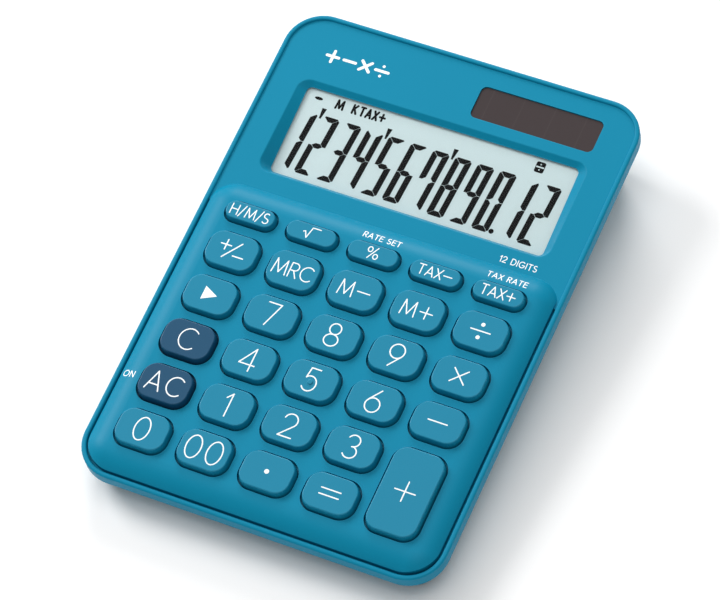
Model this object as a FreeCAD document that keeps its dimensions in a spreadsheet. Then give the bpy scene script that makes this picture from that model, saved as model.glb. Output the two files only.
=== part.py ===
import FreeCAD, Part
import math
import os
import re

import Sketcher

# A desk calculator: a wedge shaped case, 29 sprung keys, a tilted twelve digit display,
# a solar cell and a button cell.
#
# Row frame: +X to the right, +Y to the rear (the display end), +Z up. The origin is on the
# table, under the middle of the case.
# Deck frame: the top of the case leans towards the user by deck_tilt. Its origin is on the
# middle of the plane of the key tops, its y runs up the slope and its z is square to the deck.
# Depths are measured down from the key tops.

SIZES = [
    # The case, seen square to the deck.
    ("case_width", 105.0, "overall width"),
    ("case_length", 149.5, "length along the deck"),
    ("case_corner", 10.8, "corner radius in plan"),
    ("deck_tilt", 4.6, "slope of the deck, degrees"),
    ("deck_height", 20.99, "key tops above the table, at the middle"),
    ("deck_shift", 0.57, "centres the leaning case over the origin"),
    ("rim_depth", 4.2, "top of the rim"),
    ("rim_width", 1.4, "width of the rim"),
    ("rim_round", 0.6, "rounding of the rim's outer edge"),
    ("rim_inner_round", 0.5, "rounding of the rim's inner edge"),
    ("skirt_depth", 8.4, "parting line of the two case halves"),
    ("skirt_round", 0.5, "rounding of the skirt's lower edge"),
    ("panel_depth", 4.9, "surface around the display"),
    ("wall", 1.8, "wall of the mouldings"),
    # The raised, pillow shaped keypad surround.
    ("pillow_depth", 1.7, "flat top of the keypad surround"),
    ("pillow_rear", 17.9, "rear end of the surround, from the middle of the deck"),
    ("pillow_corner", 9.6, "corner radius of the surround before it is trimmed"),
    ("pillow_round", 9.0, "rounding of the surround's edges"),
    ("groove", 0.65, "gap between the surround and the rim"),
    ("groove_depth", 6.0, "floor of that gap"),
    ("groove_end", 11.0, "rear end of that gap, from the middle of the deck"),
    ("groove_corner", 0.3, "corner radius of the rear end of that gap"),
    ("bay_depth", 7.4, "roof of the wide hollow above the parting line"),
    ("bay_margin", 1.7, "rim to the keypad's hollow, beyond the rim width"),
    ("bay_rear", 15.0, "rear end of the keypad's hollow"),
    ("bay_front", 69.0, "front end of the keypad's hollow"),
    # The lower case.
    ("lip_step", 0.6, "step in from the skirt to the lower case"),
    ("side_draft", 22.0, "inward slope of the lower walls, degrees"),
    ("lower_wall", 2.0, "wall of the lower case"),
    ("foot_drop", 0.8, "underside of the lower case above the table"),
    ("tongue_wall", 1.1, "wall of the tongue that locates the two halves"),
    ("tongue_rise", 0.8, "height of the tongue above the parting line"),
    ("tongue_root", 2.0, "depth of the tongue below the parting line"),
    ("tongue_gap", 0.15, "clearance of the tongue in the skirt"),
    # The keypad grid.
    ("column_pitch", 18.2, "between key columns"),
    ("row_pitch", 14.1, "between rows of full size keys"),
    ("small_row", 8.15, "the row of small keys, behind the middle"),
    ("first_row", 3.72, "the first row of full size keys, in front of the middle"),
    # The keys.
    ("key_width", 14.1, "key top, side to side"),
    ("key_length", 10.2, "key top, front to rear"),
    ("key_corner", 3.7, "corner radius of a key top"),
    ("small_length", 5.2, "small key top, front to rear"),
    ("small_corner", 2.5, "corner radius of a small key top"),
    ("key_flare", 0.4, "how much wider a key is where it meets the deck"),
    ("key_round", 0.35, "rounding of the edge of a key top"),
    ("key_gap", 0.45, "clearance of a key in its opening"),
    ("flange_reach", 0.7, "how far the retaining flange goes under the deck"),
    ("flange_height", 0.9, "thickness of the retaining flange"),
    ("flange_clearance", 0.1, "flange to the underside of the deck"),
    ("cap_height", 2.9, "tapered part of a key"),
    ("key_wall", 1.0, "side wall of a key"),
    ("key_roof", 1.3, "top wall of a key"),
    ("plunger_radius", 2.0, "plunger of a full size key"),
    ("small_plunger", 1.4, "plunger of a small key"),
    ("plunger_depth", 5.7, "lower end of the plungers"),
    ("bump_radius", 0.75, "locating bump on the middle key"),
    ("bump_height", 0.35, "height of the locating bump"),
    ("bump_round", 0.28, "rounding of the locating bump"),
    ("bump_drop", 0.7, "locating bump in front of the middle of the key"),
    # The rubber mat and the circuit board.
    ("board_depth", 8.5, "top of the board"),
    ("board_thick", 1.4, "thickness of the board"),
    ("board_width", 92.6, "board, side to side"),
    ("board_rear", 13.2, "rear edge of the board, behind the middle"),
    ("board_front", 69.5, "front edge of the board, in front of the middle"),
    ("mat_thick", 0.8, "sheet of the rubber mat"),
    ("mat_margin", 0.8, "board edge to mat edge"),
    ("dome_base", 3.7, "radius of a dome at the sheet"),
    ("dome_top", 2.3, "radius of a dome under its plunger"),
    ("small_dome_base", 2.7, "radius of a small dome at the sheet"),
    ("small_dome_top", 1.6, "radius of a small dome under its plunger"),
    ("dome_skin", 0.6, "wall of a dome"),
    # Screws, bosses and posts.
    ("boss_radius", 1.8, "boss between the keys"),
    ("boss_clearance", 0.3, "mat and board around a boss or a screw"),
    ("shank_radius", 0.9, "self tapping screw"),
    ("head_radius", 1.9, "screw head"),
    ("head_height", 1.2, "screw head"),
    ("case_screw_length", 5.9, "shank of a case screw"),
    ("board_screw_length", 4.0, "shank of a board screw"),
    ("post_radius", 2.9, "post that rises from the lower case"),
    ("seat_wall", 2.0, "end wall of a post, under the screw head"),
    ("rear_screw_x", 40.0, "rear case screws, to each side"),
    ("rear_screw_y", 15.6, "rear case screws, behind the middle"),
    ("rear_boss_end", 13.0, "lower end of the rear bosses"),
    ("rear_boss_radius", 2.0, "rear boss"),
    # The display.
    ("recess_width", 86.0, "display recess at the surface"),
    ("recess_length", 30.5, "display recess at the surface"),
    ("recess_corner", 3.6, "corner radius of the recess at the surface"),
    ("recess_round", 0.4, "rounding of the recess's upper edge"),
    ("recess_y", 39.15, "middle of the recess at the surface"),
    ("window_width", 80.8, "display window at the foot of the recess"),
    ("window_length", 27.1, "display window at the foot of the recess"),
    ("window_corner", 1.5, "corner radius of the window"),
    ("window_y", 39.4, "middle of the window"),
    ("window_depth", 7.3, "middle of the window"),
    ("window_tilt", 4.2, "extra slope of the display, degrees"),
    ("hopper_width", 97.0, "block around the recess"),
    ("hopper_length", 38.0, "block around the recess"),
    ("hopper_y", 37.9, "middle of the block"),
    ("hopper_drop", 5.4, "height of the block before its seat is cut"),
    ("lens_width", 86.4, "clear lens"),
    ("lens_length", 31.6, "clear lens"),
    ("lens_thick", 0.8, "clear lens"),
    ("glass_thick", 2.1, "liquid crystal glass"),
    ("film_thick", 0.2, "reflector film"),
    ("frame_wall", 1.0, "display frame"),
    ("stack_gap", 0.15, "display parts in their frame"),
    ("ribbon_width", 22.0, "ribbon from the display to the board"),
    ("ribbon_thick", 0.2, "ribbon"),
    ("ribbon_slot", 2.0, "slot for the ribbon in the display frame"),
    ("ribbon_drop", 3.2, "how far the ribbon hangs below the glass"),
    ("display_screw_x", 38.0, "display frame screws, to each side"),
    ("display_screw_radius", 0.75, "display frame screw"),
    ("display_head_radius", 1.5, "head of a display frame screw"),
    ("display_head_height", 0.6, "head of a display frame screw"),
    ("display_screw_inset", 2.2, "screws to the front edge of the frame"),
    # The solar cell.
    ("solar_width", 36.0, "solar window"),
    ("solar_length", 10.2, "solar window"),
    ("solar_corner", 1.7, "corner radius of the solar window"),
    ("solar_x", 23.7, "middle of the solar window, right of the middle"),
    ("solar_y", 62.9, "middle of the solar window, behind the middle"),
    ("solar_sink", 0.4, "solar cover below the surface"),
    ("solar_flange", 1.2, "flange of the solar cover"),
    ("solar_fit", 0.1, "clearance of the solar cover in its opening"),
    ("flange_thick", 0.8, "flange of the solar cover"),
    ("solar_cell_thick", 1.1, "solar cell"),
    # The button cell, measured up from the table, and its door.
    ("cell_x", -20.0, "middle of the button cell"),
    ("cell_y", 40.0, "middle of the button cell"),
    ("cell_radius", 5.8, "button cell"),
    ("cell_thick", 5.4, "button cell"),
    ("cell_gap", 0.2, "button cell in its pocket"),
    ("door_x", -25.0, "middle of the battery door"),
    ("door_width", 26.0, "battery door"),
    ("door_length", 16.0, "battery door"),
    ("door_corner", 3.0, "battery door"),
    ("door_thick", 1.6, "battery door"),
    ("door_gap", 0.2, "battery door in its opening"),
    ("door_screw_x", -34.0, "screw of the battery door"),
    ("door_screw_length", 4.5, "shank of the battery door's screw"),
    ("door_head_height", 0.5, "head of the battery door's screw"),
    ("box_width", 31.0, "battery box inside the lower case"),
    ("box_length", 21.0, "battery box inside the lower case"),
    ("box_roof", 1.0, "roof of the battery box"),
    ("contact_thick", 0.3, "battery contacts"),
    ("contact_width", 4.0, "battery contacts"),
    ("tab_rise", 1.6, "contact tabs above the battery box"),
    # Wires and small parts.
    ("wire_radius", 0.5, "insulated wire"),
    ("wire_clear", 1.0, "how far the battery wires go past the battery box"),
    ("wire_slope", 2.0, "run in which the battery wires drop"),
    ("solar_wire_x", 7.2, "wires of the solar cell, to each side of its middle"),
    ("wire_drop", 14.6, "depth of the wires below the display"),
    ("wire_end_y", 11.4, "where the wires reach the board, behind the middle"),
    ("chip_radius", 6.0, "resin cap over the processor chip"),
    ("chip_height", 1.6, "resin cap over the processor chip"),
    ("chip_round", 1.4, "rounding of the resin cap"),
    ("chip_y", 37.6, "resin cap, in front of the middle"),
    ("capacitor_radius", 2.0, "electrolytic capacitor"),
    ("capacitor_length", 6.0, "electrolytic capacitor"),
    ("diode_radius", 1.0, "light emitting diode that limits the solar voltage"),
    ("diode_length", 3.0, "light emitting diode that limits the solar voltage"),
    ("resistor_width", 2.0, "chip resistor"),
    ("resistor_length", 1.2, "chip resistor"),
    ("resistor_height", 0.5, "chip resistor"),
    ("resistor_corner", 0.1, "chip resistor"),
    ("resistor_pitch", 4.0, "between the chip resistors"),
    # The feet.
    ("foot_radius", 4.0, "rubber foot"),
    ("foot_sink", 0.4, "depth of a foot's seat"),
    ("foot_x", 38.0, "feet, to each side"),
    ("front_foot_y", 60.0, "front feet, in front of the middle"),
    ("rear_foot_y", 57.0, "rear feet, behind the middle"),
]

doc = FreeCAD.newDocument("desk_calculator")
sheet = doc.addObject("Spreadsheet::Sheet", "sizes")
for row, (alias, value, note) in enumerate(SIZES, start=1):
    sheet.set("A%d" % row, note)
    sheet.set("B%d" % row, str(value))
    sheet.setAlias("B%d" % row, alias)
doc.recompute()

X_AXIS = FreeCAD.Vector(1, 0, 0)
Z_AXIS = FreeCAD.Vector(0, 0, 1)
SUB_PARTS = []


# ---------------------------------------------------------------- sketches and features


NAMES = {alias for alias, value, note in SIZES}


def sized(words):
    """An expression in which each size name is looked up in the sheet."""
    def look_up(match):
        word = match.group()
        return "sizes." + word if word in NAMES else word
    return re.sub("[a-z_]+", look_up, words)


def bind(item, **words):
    """Bind the named sizes of a feature to the sheet."""
    for name, expression in words.items():
        item.setExpression(name, sized(expression))


def lean(item, prefix, angle):
    """Turn a placement about the x axis by a bound angle."""
    placement = FreeCAD.Placement(FreeCAD.Vector(), FreeCAD.Rotation(X_AXIS, 1.0))
    setattr(item, prefix, placement)
    item.setExpression(prefix + ".Rotation.Angle", sized(angle))


def move(item, prefix, place):
    """Bind the position of a placement, one expression for each of x, y and z."""
    for letter, words in zip("xyz", place):
        item.setExpression("%s.Base.%s" % (prefix, letter), sized(words))


def on_deck(item, place=("0", "0", "0")):
    """Place an object, drawn in the deck frame, in the row frame."""
    across, along, rise = place
    lean(item, "Placement", "deck_tilt")
    move(item, "Placement", (
        across,
        "( %s ) * cos( deck_tilt ) - ( %s ) * sin( deck_tilt ) - deck_shift" % (along, rise),
        "deck_height + ( %s ) * sin( deck_tilt ) + ( %s ) * cos( deck_tilt )" % (along, rise),
    ))


def keep(item, label):
    """Mark a finished object as a sub-part, named by its label."""
    item.Label = label
    SUB_PARTS.append(item)
    return item


def new_body(name):
    return doc.addObject("PartDesign::Body", name)


def origin_feature(body, role):
    return [item for item in body.Origin.OriginFeatures if item.Role == role][0]


def new_sketch(body, name, place, role="XY_Plane", angle=None):
    """A sketch on an origin plane of its body, moved by bound offsets."""
    sketch = body.newObject("Sketcher::SketchObject", name)
    sketch.AttachmentSupport = (origin_feature(body, role), [""])
    sketch.MapMode = "FlatFace"
    if angle:
        lean(sketch, "AttachmentOffset", angle)
    move(sketch, "AttachmentOffset", place)
    return sketch


def fix_size(sketch, constraint, words):
    index = sketch.addConstraint(constraint)
    sketch.setExpression("Constraints[%d]" % index, sized(words))


def rounded_sketch(body, name, width, length, corner, place, angle=None):
    """A rounded rectangle about the sketch's own centre: four lines and four arcs."""
    sketch = new_sketch(body, name, place, angle=angle)
    half_x, half_y, turn = 5.0, 4.0, 1.0
    corners = [(half_x, -half_y), (half_x, half_y), (-half_x, half_y), (-half_x, -half_y)]
    for index in range(4):
        ahead = corners[index]
        behind = corners[index - 1]
        run = FreeCAD.Vector(ahead[0] - behind[0], ahead[1] - behind[1], 0).normalize()
        start = FreeCAD.Vector(behind[0], behind[1], 0) + run * turn
        end = FreeCAD.Vector(ahead[0], ahead[1], 0) - run * turn
        sketch.addGeometry(Part.LineSegment(start, end), False)
    for index, (x, y) in enumerate(corners):
        centre = FreeCAD.Vector(x - math.copysign(turn, x), y - math.copysign(turn, y), 0)
        circle = Part.Circle(centre, Z_AXIS, turn)
        first = math.radians(90.0 * index - 90.0)
        sketch.addGeometry(Part.ArcOfCircle(circle, first, first + math.pi / 2), False)
    for index in range(4):
        sketch.addConstraint(Sketcher.Constraint("Tangent", index, 2, 4 + index, 1))
        sketch.addConstraint(Sketcher.Constraint("Tangent", 4 + index, 2, (index + 1) % 4, 1))
        level = "Horizontal" if index % 2 == 0 else "Vertical"
        sketch.addConstraint(Sketcher.Constraint(level, index))
    for index in (5, 6, 7):
        sketch.addConstraint(Sketcher.Constraint("Equal", 4, index))
    sketch.addConstraint(Sketcher.Constraint("Symmetric", 4, 3, 6, 3, -1, 1))
    across = "( %s ) - 2 * ( %s )" % (width, corner)
    along = "( %s ) - 2 * ( %s )" % (length, corner)
    fix_size(sketch, Sketcher.Constraint("DistanceX", 7, 3, 4, 3, 8.0), across)
    fix_size(sketch, Sketcher.Constraint("DistanceY", 4, 3, 5, 3, 6.0), along)
    fix_size(sketch, Sketcher.Constraint("Radius", 4, turn), corner)
    return sketch


def circle_sketch(body, name, radius, centres, level, role="XY_Plane"):
    """Circles of one radius. A centre is (x words, x sign, y words, y sign)."""
    sketch = new_sketch(body, name, ("0", "0", level), role)
    for index, (x_words, x_sign, y_words, y_sign) in enumerate(centres):
        guess = FreeCAD.Vector(x_sign * (10.0 + index), y_sign * (10.0 + index), 0)
        sketch.addGeometry(Part.Circle(guess, Z_AXIS, 1.0), False)
        fix_size(sketch, Sketcher.Constraint("Radius", index, 1.0), radius)
        for kind, words, sign in (("DistanceX", x_words, x_sign), ("DistanceY", y_words, y_sign)):
            ends = (-1, 1, index, 3) if sign > 0 else (index, 3, -1, 1)
            fix_size(sketch, Sketcher.Constraint(kind, *ends, 10.0 + index), words)
    return sketch


def disc_sketch(body, name, radius, place):
    """One circle about the sketch's own centre."""
    sketch = new_sketch(body, name, place)
    sketch.addGeometry(Part.Circle(FreeCAD.Vector(), Z_AXIS, 1.0), False)
    sketch.addConstraint(Sketcher.Constraint("Coincident", 0, 3, -1, 1))
    fix_size(sketch, Sketcher.Constraint("Radius", 0, 1.0), radius)
    return sketch


def pad(body, sketch, length, down=False, taper=None):
    feature = body.newObject("PartDesign::Pad", sketch.Name + "_pad")
    feature.Profile = sketch
    feature.Reversed = down
    bind(feature, Length=length)
    if taper:
        bind(feature, TaperAngle=taper)
    return feature


def pocket(body, sketch, length, up=False):
    feature = body.newObject("PartDesign::Pocket", sketch.Name + "_pocket")
    feature.Profile = sketch
    feature.Reversed = up
    bind(feature, Length=length)
    return feature


def round_edges(body, feature, radius, chosen):
    """Round the edges of a feature that a test picks out."""
    doc.recompute()
    picked = ["Edge%d" % index for index, edge in enumerate(feature.Shape.Edges, start=1)
              if chosen(edge.BoundBox)]
    fillet = body.newObject("PartDesign::Fillet", feature.Name + "_round")
    fillet.Base = (feature, picked)
    bind(fillet, Radius=radius)
    return fillet


def flat_at(height):
    """A test for edges that lie level at one height."""
    return lambda box: abs(box.ZMin - height) < 1e-4 and abs(box.ZMax - height) < 1e-4


def repeat(body, feature, steps):
    """Copy a feature along each (axis role, count, pitch words, backwards) in turn."""
    pattern = body.newObject("PartDesign::MultiTransform", feature.Name + "_grid")
    pattern.Originals = [feature]
    rows = []
    for role, count, pitch, backwards in steps:
        row = body.newObject("PartDesign::LinearPattern", feature.Name + "_" + role[0] + "_row")
        row.Direction = (origin_feature(body, role), [""])
        row.Reversed = backwards
        row.Occurrences = count
        bind(row, Length="( %s ) * %d" % (pitch, count - 1))
        rows.append(row)
    pattern.Transformations = rows
    body.Tip = pattern
    return pattern


def cut(name, base, tool):
    result = doc.addObject("Part::Cut", name)
    result.Base = base
    result.Tool = tool
    return result


def join(name, shapes):
    result = doc.addObject("Part::MultiFuse", name)
    result.Shapes = shapes
    return result


def common(name, shapes):
    result = doc.addObject("Part::MultiCommon", name)
    result.Shapes = shapes
    return result


# ---------------------------------------------------------------- the grid of the keypad

COLUMNS = 5
FULL_ROWS = 5
GRID = [("X_Axis", COLUMNS, "column_pitch", False), ("Y_Axis", FULL_ROWS, "row_pitch", True)]
SMALL_GRID = [("X_Axis", COLUMNS, "column_pitch", False)]
LEFT_COLUMN = "-2 * column_pitch"
OPENING = "2 * ( key_flare + key_gap )"


def crossing(columns_out, rows_down, side):
    """The point between four keys: a boss or a screw fits there."""
    return ("column_pitch * %s" % columns_out, side,
            "first_row + row_pitch * %s" % rows_down, -1)


CASE_CROSSINGS = [crossing(1.5, 2.5, 1), crossing(1.5, 2.5, -1),
                  crossing(0.5, 3.5, 1), crossing(0.5, 3.5, -1)]
BOARD_CROSSINGS = [crossing(1.5, 0.5, 1), crossing(1.5, 0.5, -1),
                   crossing(0.5, 1.5, 1), crossing(0.5, 1.5, -1)]
REAR_STATIONS = [("rear_screw_x", 1, "rear_screw_y", 1), ("rear_screw_x", -1, "rear_screw_y", 1)]


# ---------------------------------------------------------------- the upper case

# Deep enough to go through one wall of the upper case.
THROUGH = "2 * wall"


def upper_shell():
    """The rim and the skirt, with the display's panel sunk inside the rim."""
    body = new_body("upper_shell")
    outline = rounded_sketch(body, "upper_outline", "case_width", "case_length",
                             "case_corner", ("0", "0", "-skirt_depth"))
    block = pad(body, outline, "skirt_depth - rim_depth")
    block = round_edges(body, block, "rim_round", flat_at(-sheet.rim_depth))
    round_edges(body, block, "skirt_round", flat_at(-sheet.skirt_depth))
    inner = ("case_width - 2 * rim_width", "case_length - 2 * rim_width",
             "case_corner - rim_width")
    panel = rounded_sketch(body, "panel", *inner, ("0", "0", "-rim_depth"))
    panel = pocket(body, panel, "panel_depth - rim_depth")
    level = flat_at(-sheet.rim_depth)
    border = (sheet.rim_width + sheet.rim_round) / 2
    side = sheet.case_width / 2 - border
    end = sheet.case_length / 2 - border
    round_edges(body, panel, "rim_inner_round", lambda box: (
        level(box) and max(-box.XMin, box.XMax) < side and max(-box.YMin, box.YMax) < end))
    front = "case_length / 2 - rim_width"
    front_part = rounded_sketch(body, "groove_front", "case_width - 2 * rim_width",
                                front, "case_corner - rim_width",
                                ("0", "-( %s ) / 2" % front, "-rim_depth"))
    pocket(body, front_part, "groove_depth - rim_depth")
    rear_part = rounded_sketch(body, "groove_rear", "case_width - 2 * rim_width",
                               "groove_end + ( %s ) / 2" % front, "groove_corner",
                               ("0", "groove_end / 2 - ( %s ) / 4" % front, "-rim_depth"))
    pocket(body, rear_part, "groove_depth - rim_depth")
    return body


def keypad_pillow():
    """The keypad's surround: a softly rounded slab, trimmed where the rim's gap begins."""
    # The rounded edge reaches the level of the display's panel this far inside its outline.
    drop = "( pillow_round - panel_depth + pillow_depth )"
    spread = "( pillow_round - sqrt( pillow_round ^ 2 - %s ^ 2 ) )" % drop
    body = new_body("pillow_slab")
    front = "( case_length / 2 - rim_width + %s )" % spread
    rear = "( pillow_rear + %s )" % spread
    outline = rounded_sketch(body, "pillow_outline",
                             "case_width - 2 * rim_width + 2 * %s" % spread,
                             "%s + %s" % (rear, front), "pillow_corner",
                             ("0", "( %s - %s ) / 2" % (rear, front),
                              "-pillow_depth - pillow_round - wall"))
    slab = pad(body, outline, "pillow_round + wall")
    round_edges(body, slab, "pillow_round", flat_at(-sheet.pillow_depth))
    trim = new_body("pillow_trim")
    inside = rounded_sketch(trim, "pillow_limit", "case_width - 2 * ( rim_width + groove )",
                            "case_length - 2 * ( rim_width + groove )",
                            "case_corner - rim_width - groove", ("0", "0", "-skirt_depth"))
    pad(trim, inside, "skirt_depth")
    return common("keypad_pillow", [body, trim])


def upper_case():
    outside = join("upper_outside", [upper_shell(), keypad_pillow()])
    body = new_body("top_case")
    body.BaseFeature = outside

    # The hollows, cut upwards from the parting line.
    inner = ("case_width - 2 * rim_width", "case_corner - rim_width")
    wide = rounded_sketch(body, "wide_bay", inner[0], "case_length - 2 * rim_width", inner[1],
                          ("0", "0", "-skirt_depth"))
    pocket(body, wide, "skirt_depth - bay_depth", up=True)
    rear = "case_length / 2 - rim_width"
    display = rounded_sketch(body, "display_bay", inner[0], "%s - pillow_rear" % rear,
                             "pillow_corner", ("0", "( %s + pillow_rear ) / 2" % rear,
                                               "-skirt_depth"))
    pocket(body, display, "skirt_depth - panel_depth - wall", up=True)
    keypad = rounded_sketch(body, "keypad_bay", "%s - 2 * ( bay_margin + wall )" % inner[0],
                            "bay_rear + bay_front", "pillow_corner - wall",
                            ("0", "( bay_rear - bay_front ) / 2", "-skirt_depth"))
    pocket(body, keypad, "skirt_depth - pillow_depth - wall", up=True)

    # The block around the display: its underside is the seat of the lens, so it leans.
    hopper = rounded_sketch(body, "hopper", "hopper_width", "hopper_length", "pillow_corner",
                            ("0", "hopper_y", "-panel_depth - wall / 2"))
    pad(body, hopper, "hopper_drop", down=True)
    seat = rounded_sketch(body, "lens_seat", "hopper_width + wall", "hopper_length + wall",
                          "pillow_corner", window_point("hopper_y - window_y", "0"),
                          "window_tilt")
    pocket(body, seat, "hopper_drop + wall")
    mouth = rounded_sketch(body, "recess_mouth", "recess_width", "recess_length",
                           "recess_corner", ("0", "recess_y", "-panel_depth"))
    window = rounded_sketch(body, "recess_window", "window_width", "window_length",
                            "window_corner", ("0", "window_y", "-window_depth"), "window_tilt")
    recess = body.newObject("PartDesign::SubtractiveLoft", "display_recess")
    recess.Profile = mouth
    recess.Sections = [window]
    recess.Ruled = True
    level = flat_at(-sheet.panel_depth)
    front = sheet.recess_y - sheet.recess_length / 2 - sheet.wall
    rear = sheet.recess_y + sheet.recess_length / 2 + sheet.wall
    round_edges(body, recess, "recess_round", lambda box: (
        level(box) and box.YMin > front and box.YMax < rear
        and abs(box.Center.x) < sheet.recess_width / 2 + sheet.wall))
    screws = [("display_screw_x", side, DISPLAY_SCREW_Y, 1) for side in (1, -1)]
    pilots = circle_sketch(body, "display_pilots", "display_screw_radius", screws,
                           "-window_depth - wall")
    pocket(body, pilots, "window_depth - panel_depth", up=True)

    solar = rounded_sketch(body, "solar_window", "solar_width", "solar_length",
                           "solar_corner", ("solar_x", "solar_y", "-panel_depth"))
    pocket(body, solar, THROUGH)

    # The key openings.
    opening = rounded_sketch(body, "key_opening", "key_width + %s" % OPENING,
                             "key_length + %s" % OPENING, "key_corner + key_flare + key_gap",
                             (LEFT_COLUMN, "-first_row", "-pillow_depth"))
    repeat(body, pocket(body, opening, THROUGH), GRID)
    small = rounded_sketch(body, "small_opening", "key_width + %s" % OPENING,
                           "small_length + %s" % OPENING,
                           "small_corner + key_flare + key_gap",
                           (LEFT_COLUMN, "small_row", "-pillow_depth"))
    repeat(body, pocket(body, small, THROUGH), SMALL_GRID)
    tall = rounded_sketch(body, "tall_opening", "key_width + %s" % OPENING,
                          "key_length + row_pitch + %s" % OPENING,
                          "key_corner + key_flare + key_gap",
                          ("2 * column_pitch", "-first_row - 3.5 * row_pitch", "-pillow_depth"))
    pocket(body, tall, THROUGH)

    # Bosses hang from the deck and the screws cut their threads in them.
    bosses = circle_sketch(body, "bosses", "boss_radius", CASE_CROSSINGS + BOARD_CROSSINGS,
                           "-board_depth")
    pad(body, bosses, "board_depth - pillow_depth - wall / 2")
    rear_bosses = circle_sketch(body, "rear_bosses", "rear_boss_radius", REAR_STATIONS,
                                "-rear_boss_end")
    pad(body, rear_bosses, "rear_boss_end - bay_depth + wall / 4")
    holes = circle_sketch(body, "boss_holes", "shank_radius", CASE_CROSSINGS + BOARD_CROSSINGS,
                          "-board_depth")
    pocket(body, holes, "board_depth - pillow_depth - wall - wall / 8", up=True)
    rear_holes = circle_sketch(body, "rear_boss_holes", "shank_radius", REAR_STATIONS,
                               "-rear_boss_end")
    pocket(body, rear_holes, "rear_boss_end - bay_depth + wall / 8", up=True)
    on_deck(body)
    return keep(body, "top_case")


# ---------------------------------------------------------------- the keys


def key(label, length, corner, plunger, x_place, y_place, plungers=("0",)):
    """A hollow key: tapered cap, straight neck, retaining flange and plungers."""
    body = new_body(label)
    bottom = "pillow_depth + wall + flange_clearance + flange_height"
    reach = "( key_flare + key_gap + flange_reach )"
    flange = rounded_sketch(body, label + "_flange", "key_width + 2 * %s" % reach,
                            "( %s ) + 2 * %s" % (length, reach), "( %s ) + %s" % (corner, reach),
                            ("0", "0", "-( %s )" % bottom))
    pad(body, flange, "flange_height")
    neck = rounded_sketch(body, label + "_neck", "key_width + 2 * key_flare",
                          "( %s ) + 2 * key_flare" % length, "( %s ) + key_flare" % corner,
                          ("0", "0", "-( %s )" % bottom))
    pad(body, neck, "( %s ) - cap_height" % bottom)
    cap = rounded_sketch(body, label + "_cap", "key_width + 2 * key_flare",
                         "( %s ) + 2 * key_flare" % length, "( %s ) + key_flare" % corner,
                         ("0", "0", "-cap_height"))
    top = pad(body, cap, "cap_height", taper="-atan( key_flare / cap_height )")
    round_edges(body, top, "key_round", flat_at(0.0))
    hollow = rounded_sketch(body, label + "_hollow", "key_width - 2 * key_wall",
                            "( %s ) - 2 * key_wall" % length, "( %s ) - key_wall" % corner,
                            ("0", "0", "-( %s )" % bottom))
    pocket(body, hollow, "( %s ) - key_roof" % bottom, up=True)
    for index, offset in enumerate(plungers):
        foot = disc_sketch(body, "%s_plunger_%d" % (label, index), plunger,
                           ("0", offset, "-plunger_depth"))
        pad(body, foot, "plunger_depth - key_roof / 2")
    if label == "key_5":
        bump = disc_sketch(body, "locating_bump", "bump_radius",
                           ("0", "-bump_drop", "0"))
        dot = pad(body, bump, "bump_height")
        round_edges(body, dot, "bump_round", flat_at(sheet.bump_height))
    on_deck(body, (x_place, y_place, "0"))
    return keep(body, label)


SMALL_KEYS = ["key_time", "key_square_root", "key_percent", "key_tax_minus", "key_tax_plus"]
FULL_KEYS = [
    ["key_sign", "key_memory_recall", "key_memory_minus", "key_memory_plus", "key_divide"],
    ["key_backspace", "key_7", "key_8", "key_9", "key_multiply"],
    ["key_clear", "key_4", "key_5", "key_6", "key_subtract"],
    ["key_all_clear", "key_1", "key_2", "key_3", None],
    ["key_0", "key_00", "key_point", "key_equals", None],
]


def keypad():
    for column, label in enumerate(SMALL_KEYS):
        key(label, "small_length", "small_corner", "small_plunger",
            "%d * column_pitch" % (column - 2), "small_row")
    for row, labels in enumerate(FULL_KEYS):
        for column, label in enumerate(labels):
            if label:
                key(label, "key_length", "key_corner", "plunger_radius",
                    "%d * column_pitch" % (column - 2), "-first_row - %d * row_pitch" % row)
    key("key_add", "key_length + row_pitch", "key_corner", "plunger_radius",
        "2 * column_pitch", "-first_row - 3.5 * row_pitch", ("-row_pitch / 2", "row_pitch / 2"))


# ---------------------------------------------------------------- mat and board


def board_outline(body, name, margin, level):
    return rounded_sketch(body, name, "board_width - 2 * ( %s )" % margin,
                          "board_rear + board_front - 2 * ( %s )" % margin, "wall",
                          ("0", "( board_rear - board_front ) / 2", level))


def cone(body, kind, name, lower, upper, height, place):
    feature = body.newObject(kind, name)
    feature.AttachmentSupport = (origin_feature(body, "XY_Plane"), [""])
    feature.MapMode = "FlatFace"
    bind(feature, Radius1=lower, Radius2=upper, Height=height)
    move(feature, "AttachmentOffset", place)
    return feature


def key_mat():
    """One sheet of silicone rubber with a hollow dome under each plunger."""
    body = new_body("key_mat")
    pad(body, board_outline(body, "mat_outline", "mat_margin", "-board_depth"), "mat_thick")
    rise = "board_depth - mat_thick - plunger_depth"
    domes = [("dome", "dome_base", "dome_top", "-first_row", GRID),
             ("small_dome", "small_dome_base", "small_dome_top", "small_row", SMALL_GRID)]
    for name, base, top, along, grid in domes:
        place = (LEFT_COLUMN, along, "-board_depth + mat_thick")
        outer = cone(body, "PartDesign::AdditiveCone", name, base, top, rise, place)
        repeat(body, outer, grid)
        hollow = cone(body, "PartDesign::SubtractiveCone", name + "_hollow",
                      "%s - dome_skin" % base, "%s - dome_skin" % top,
                      "board_depth - plunger_depth - dome_skin - flange_height",
                      (LEFT_COLUMN, along, "-board_depth"))
        repeat(body, hollow, grid)
    holes = circle_sketch(body, "mat_holes", "boss_radius + boss_clearance",
                          CASE_CROSSINGS + BOARD_CROSSINGS, "-board_depth + mat_thick")
    pocket(body, holes, "mat_thick")
    on_deck(body)
    return keep(body, "key_mat")


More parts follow.
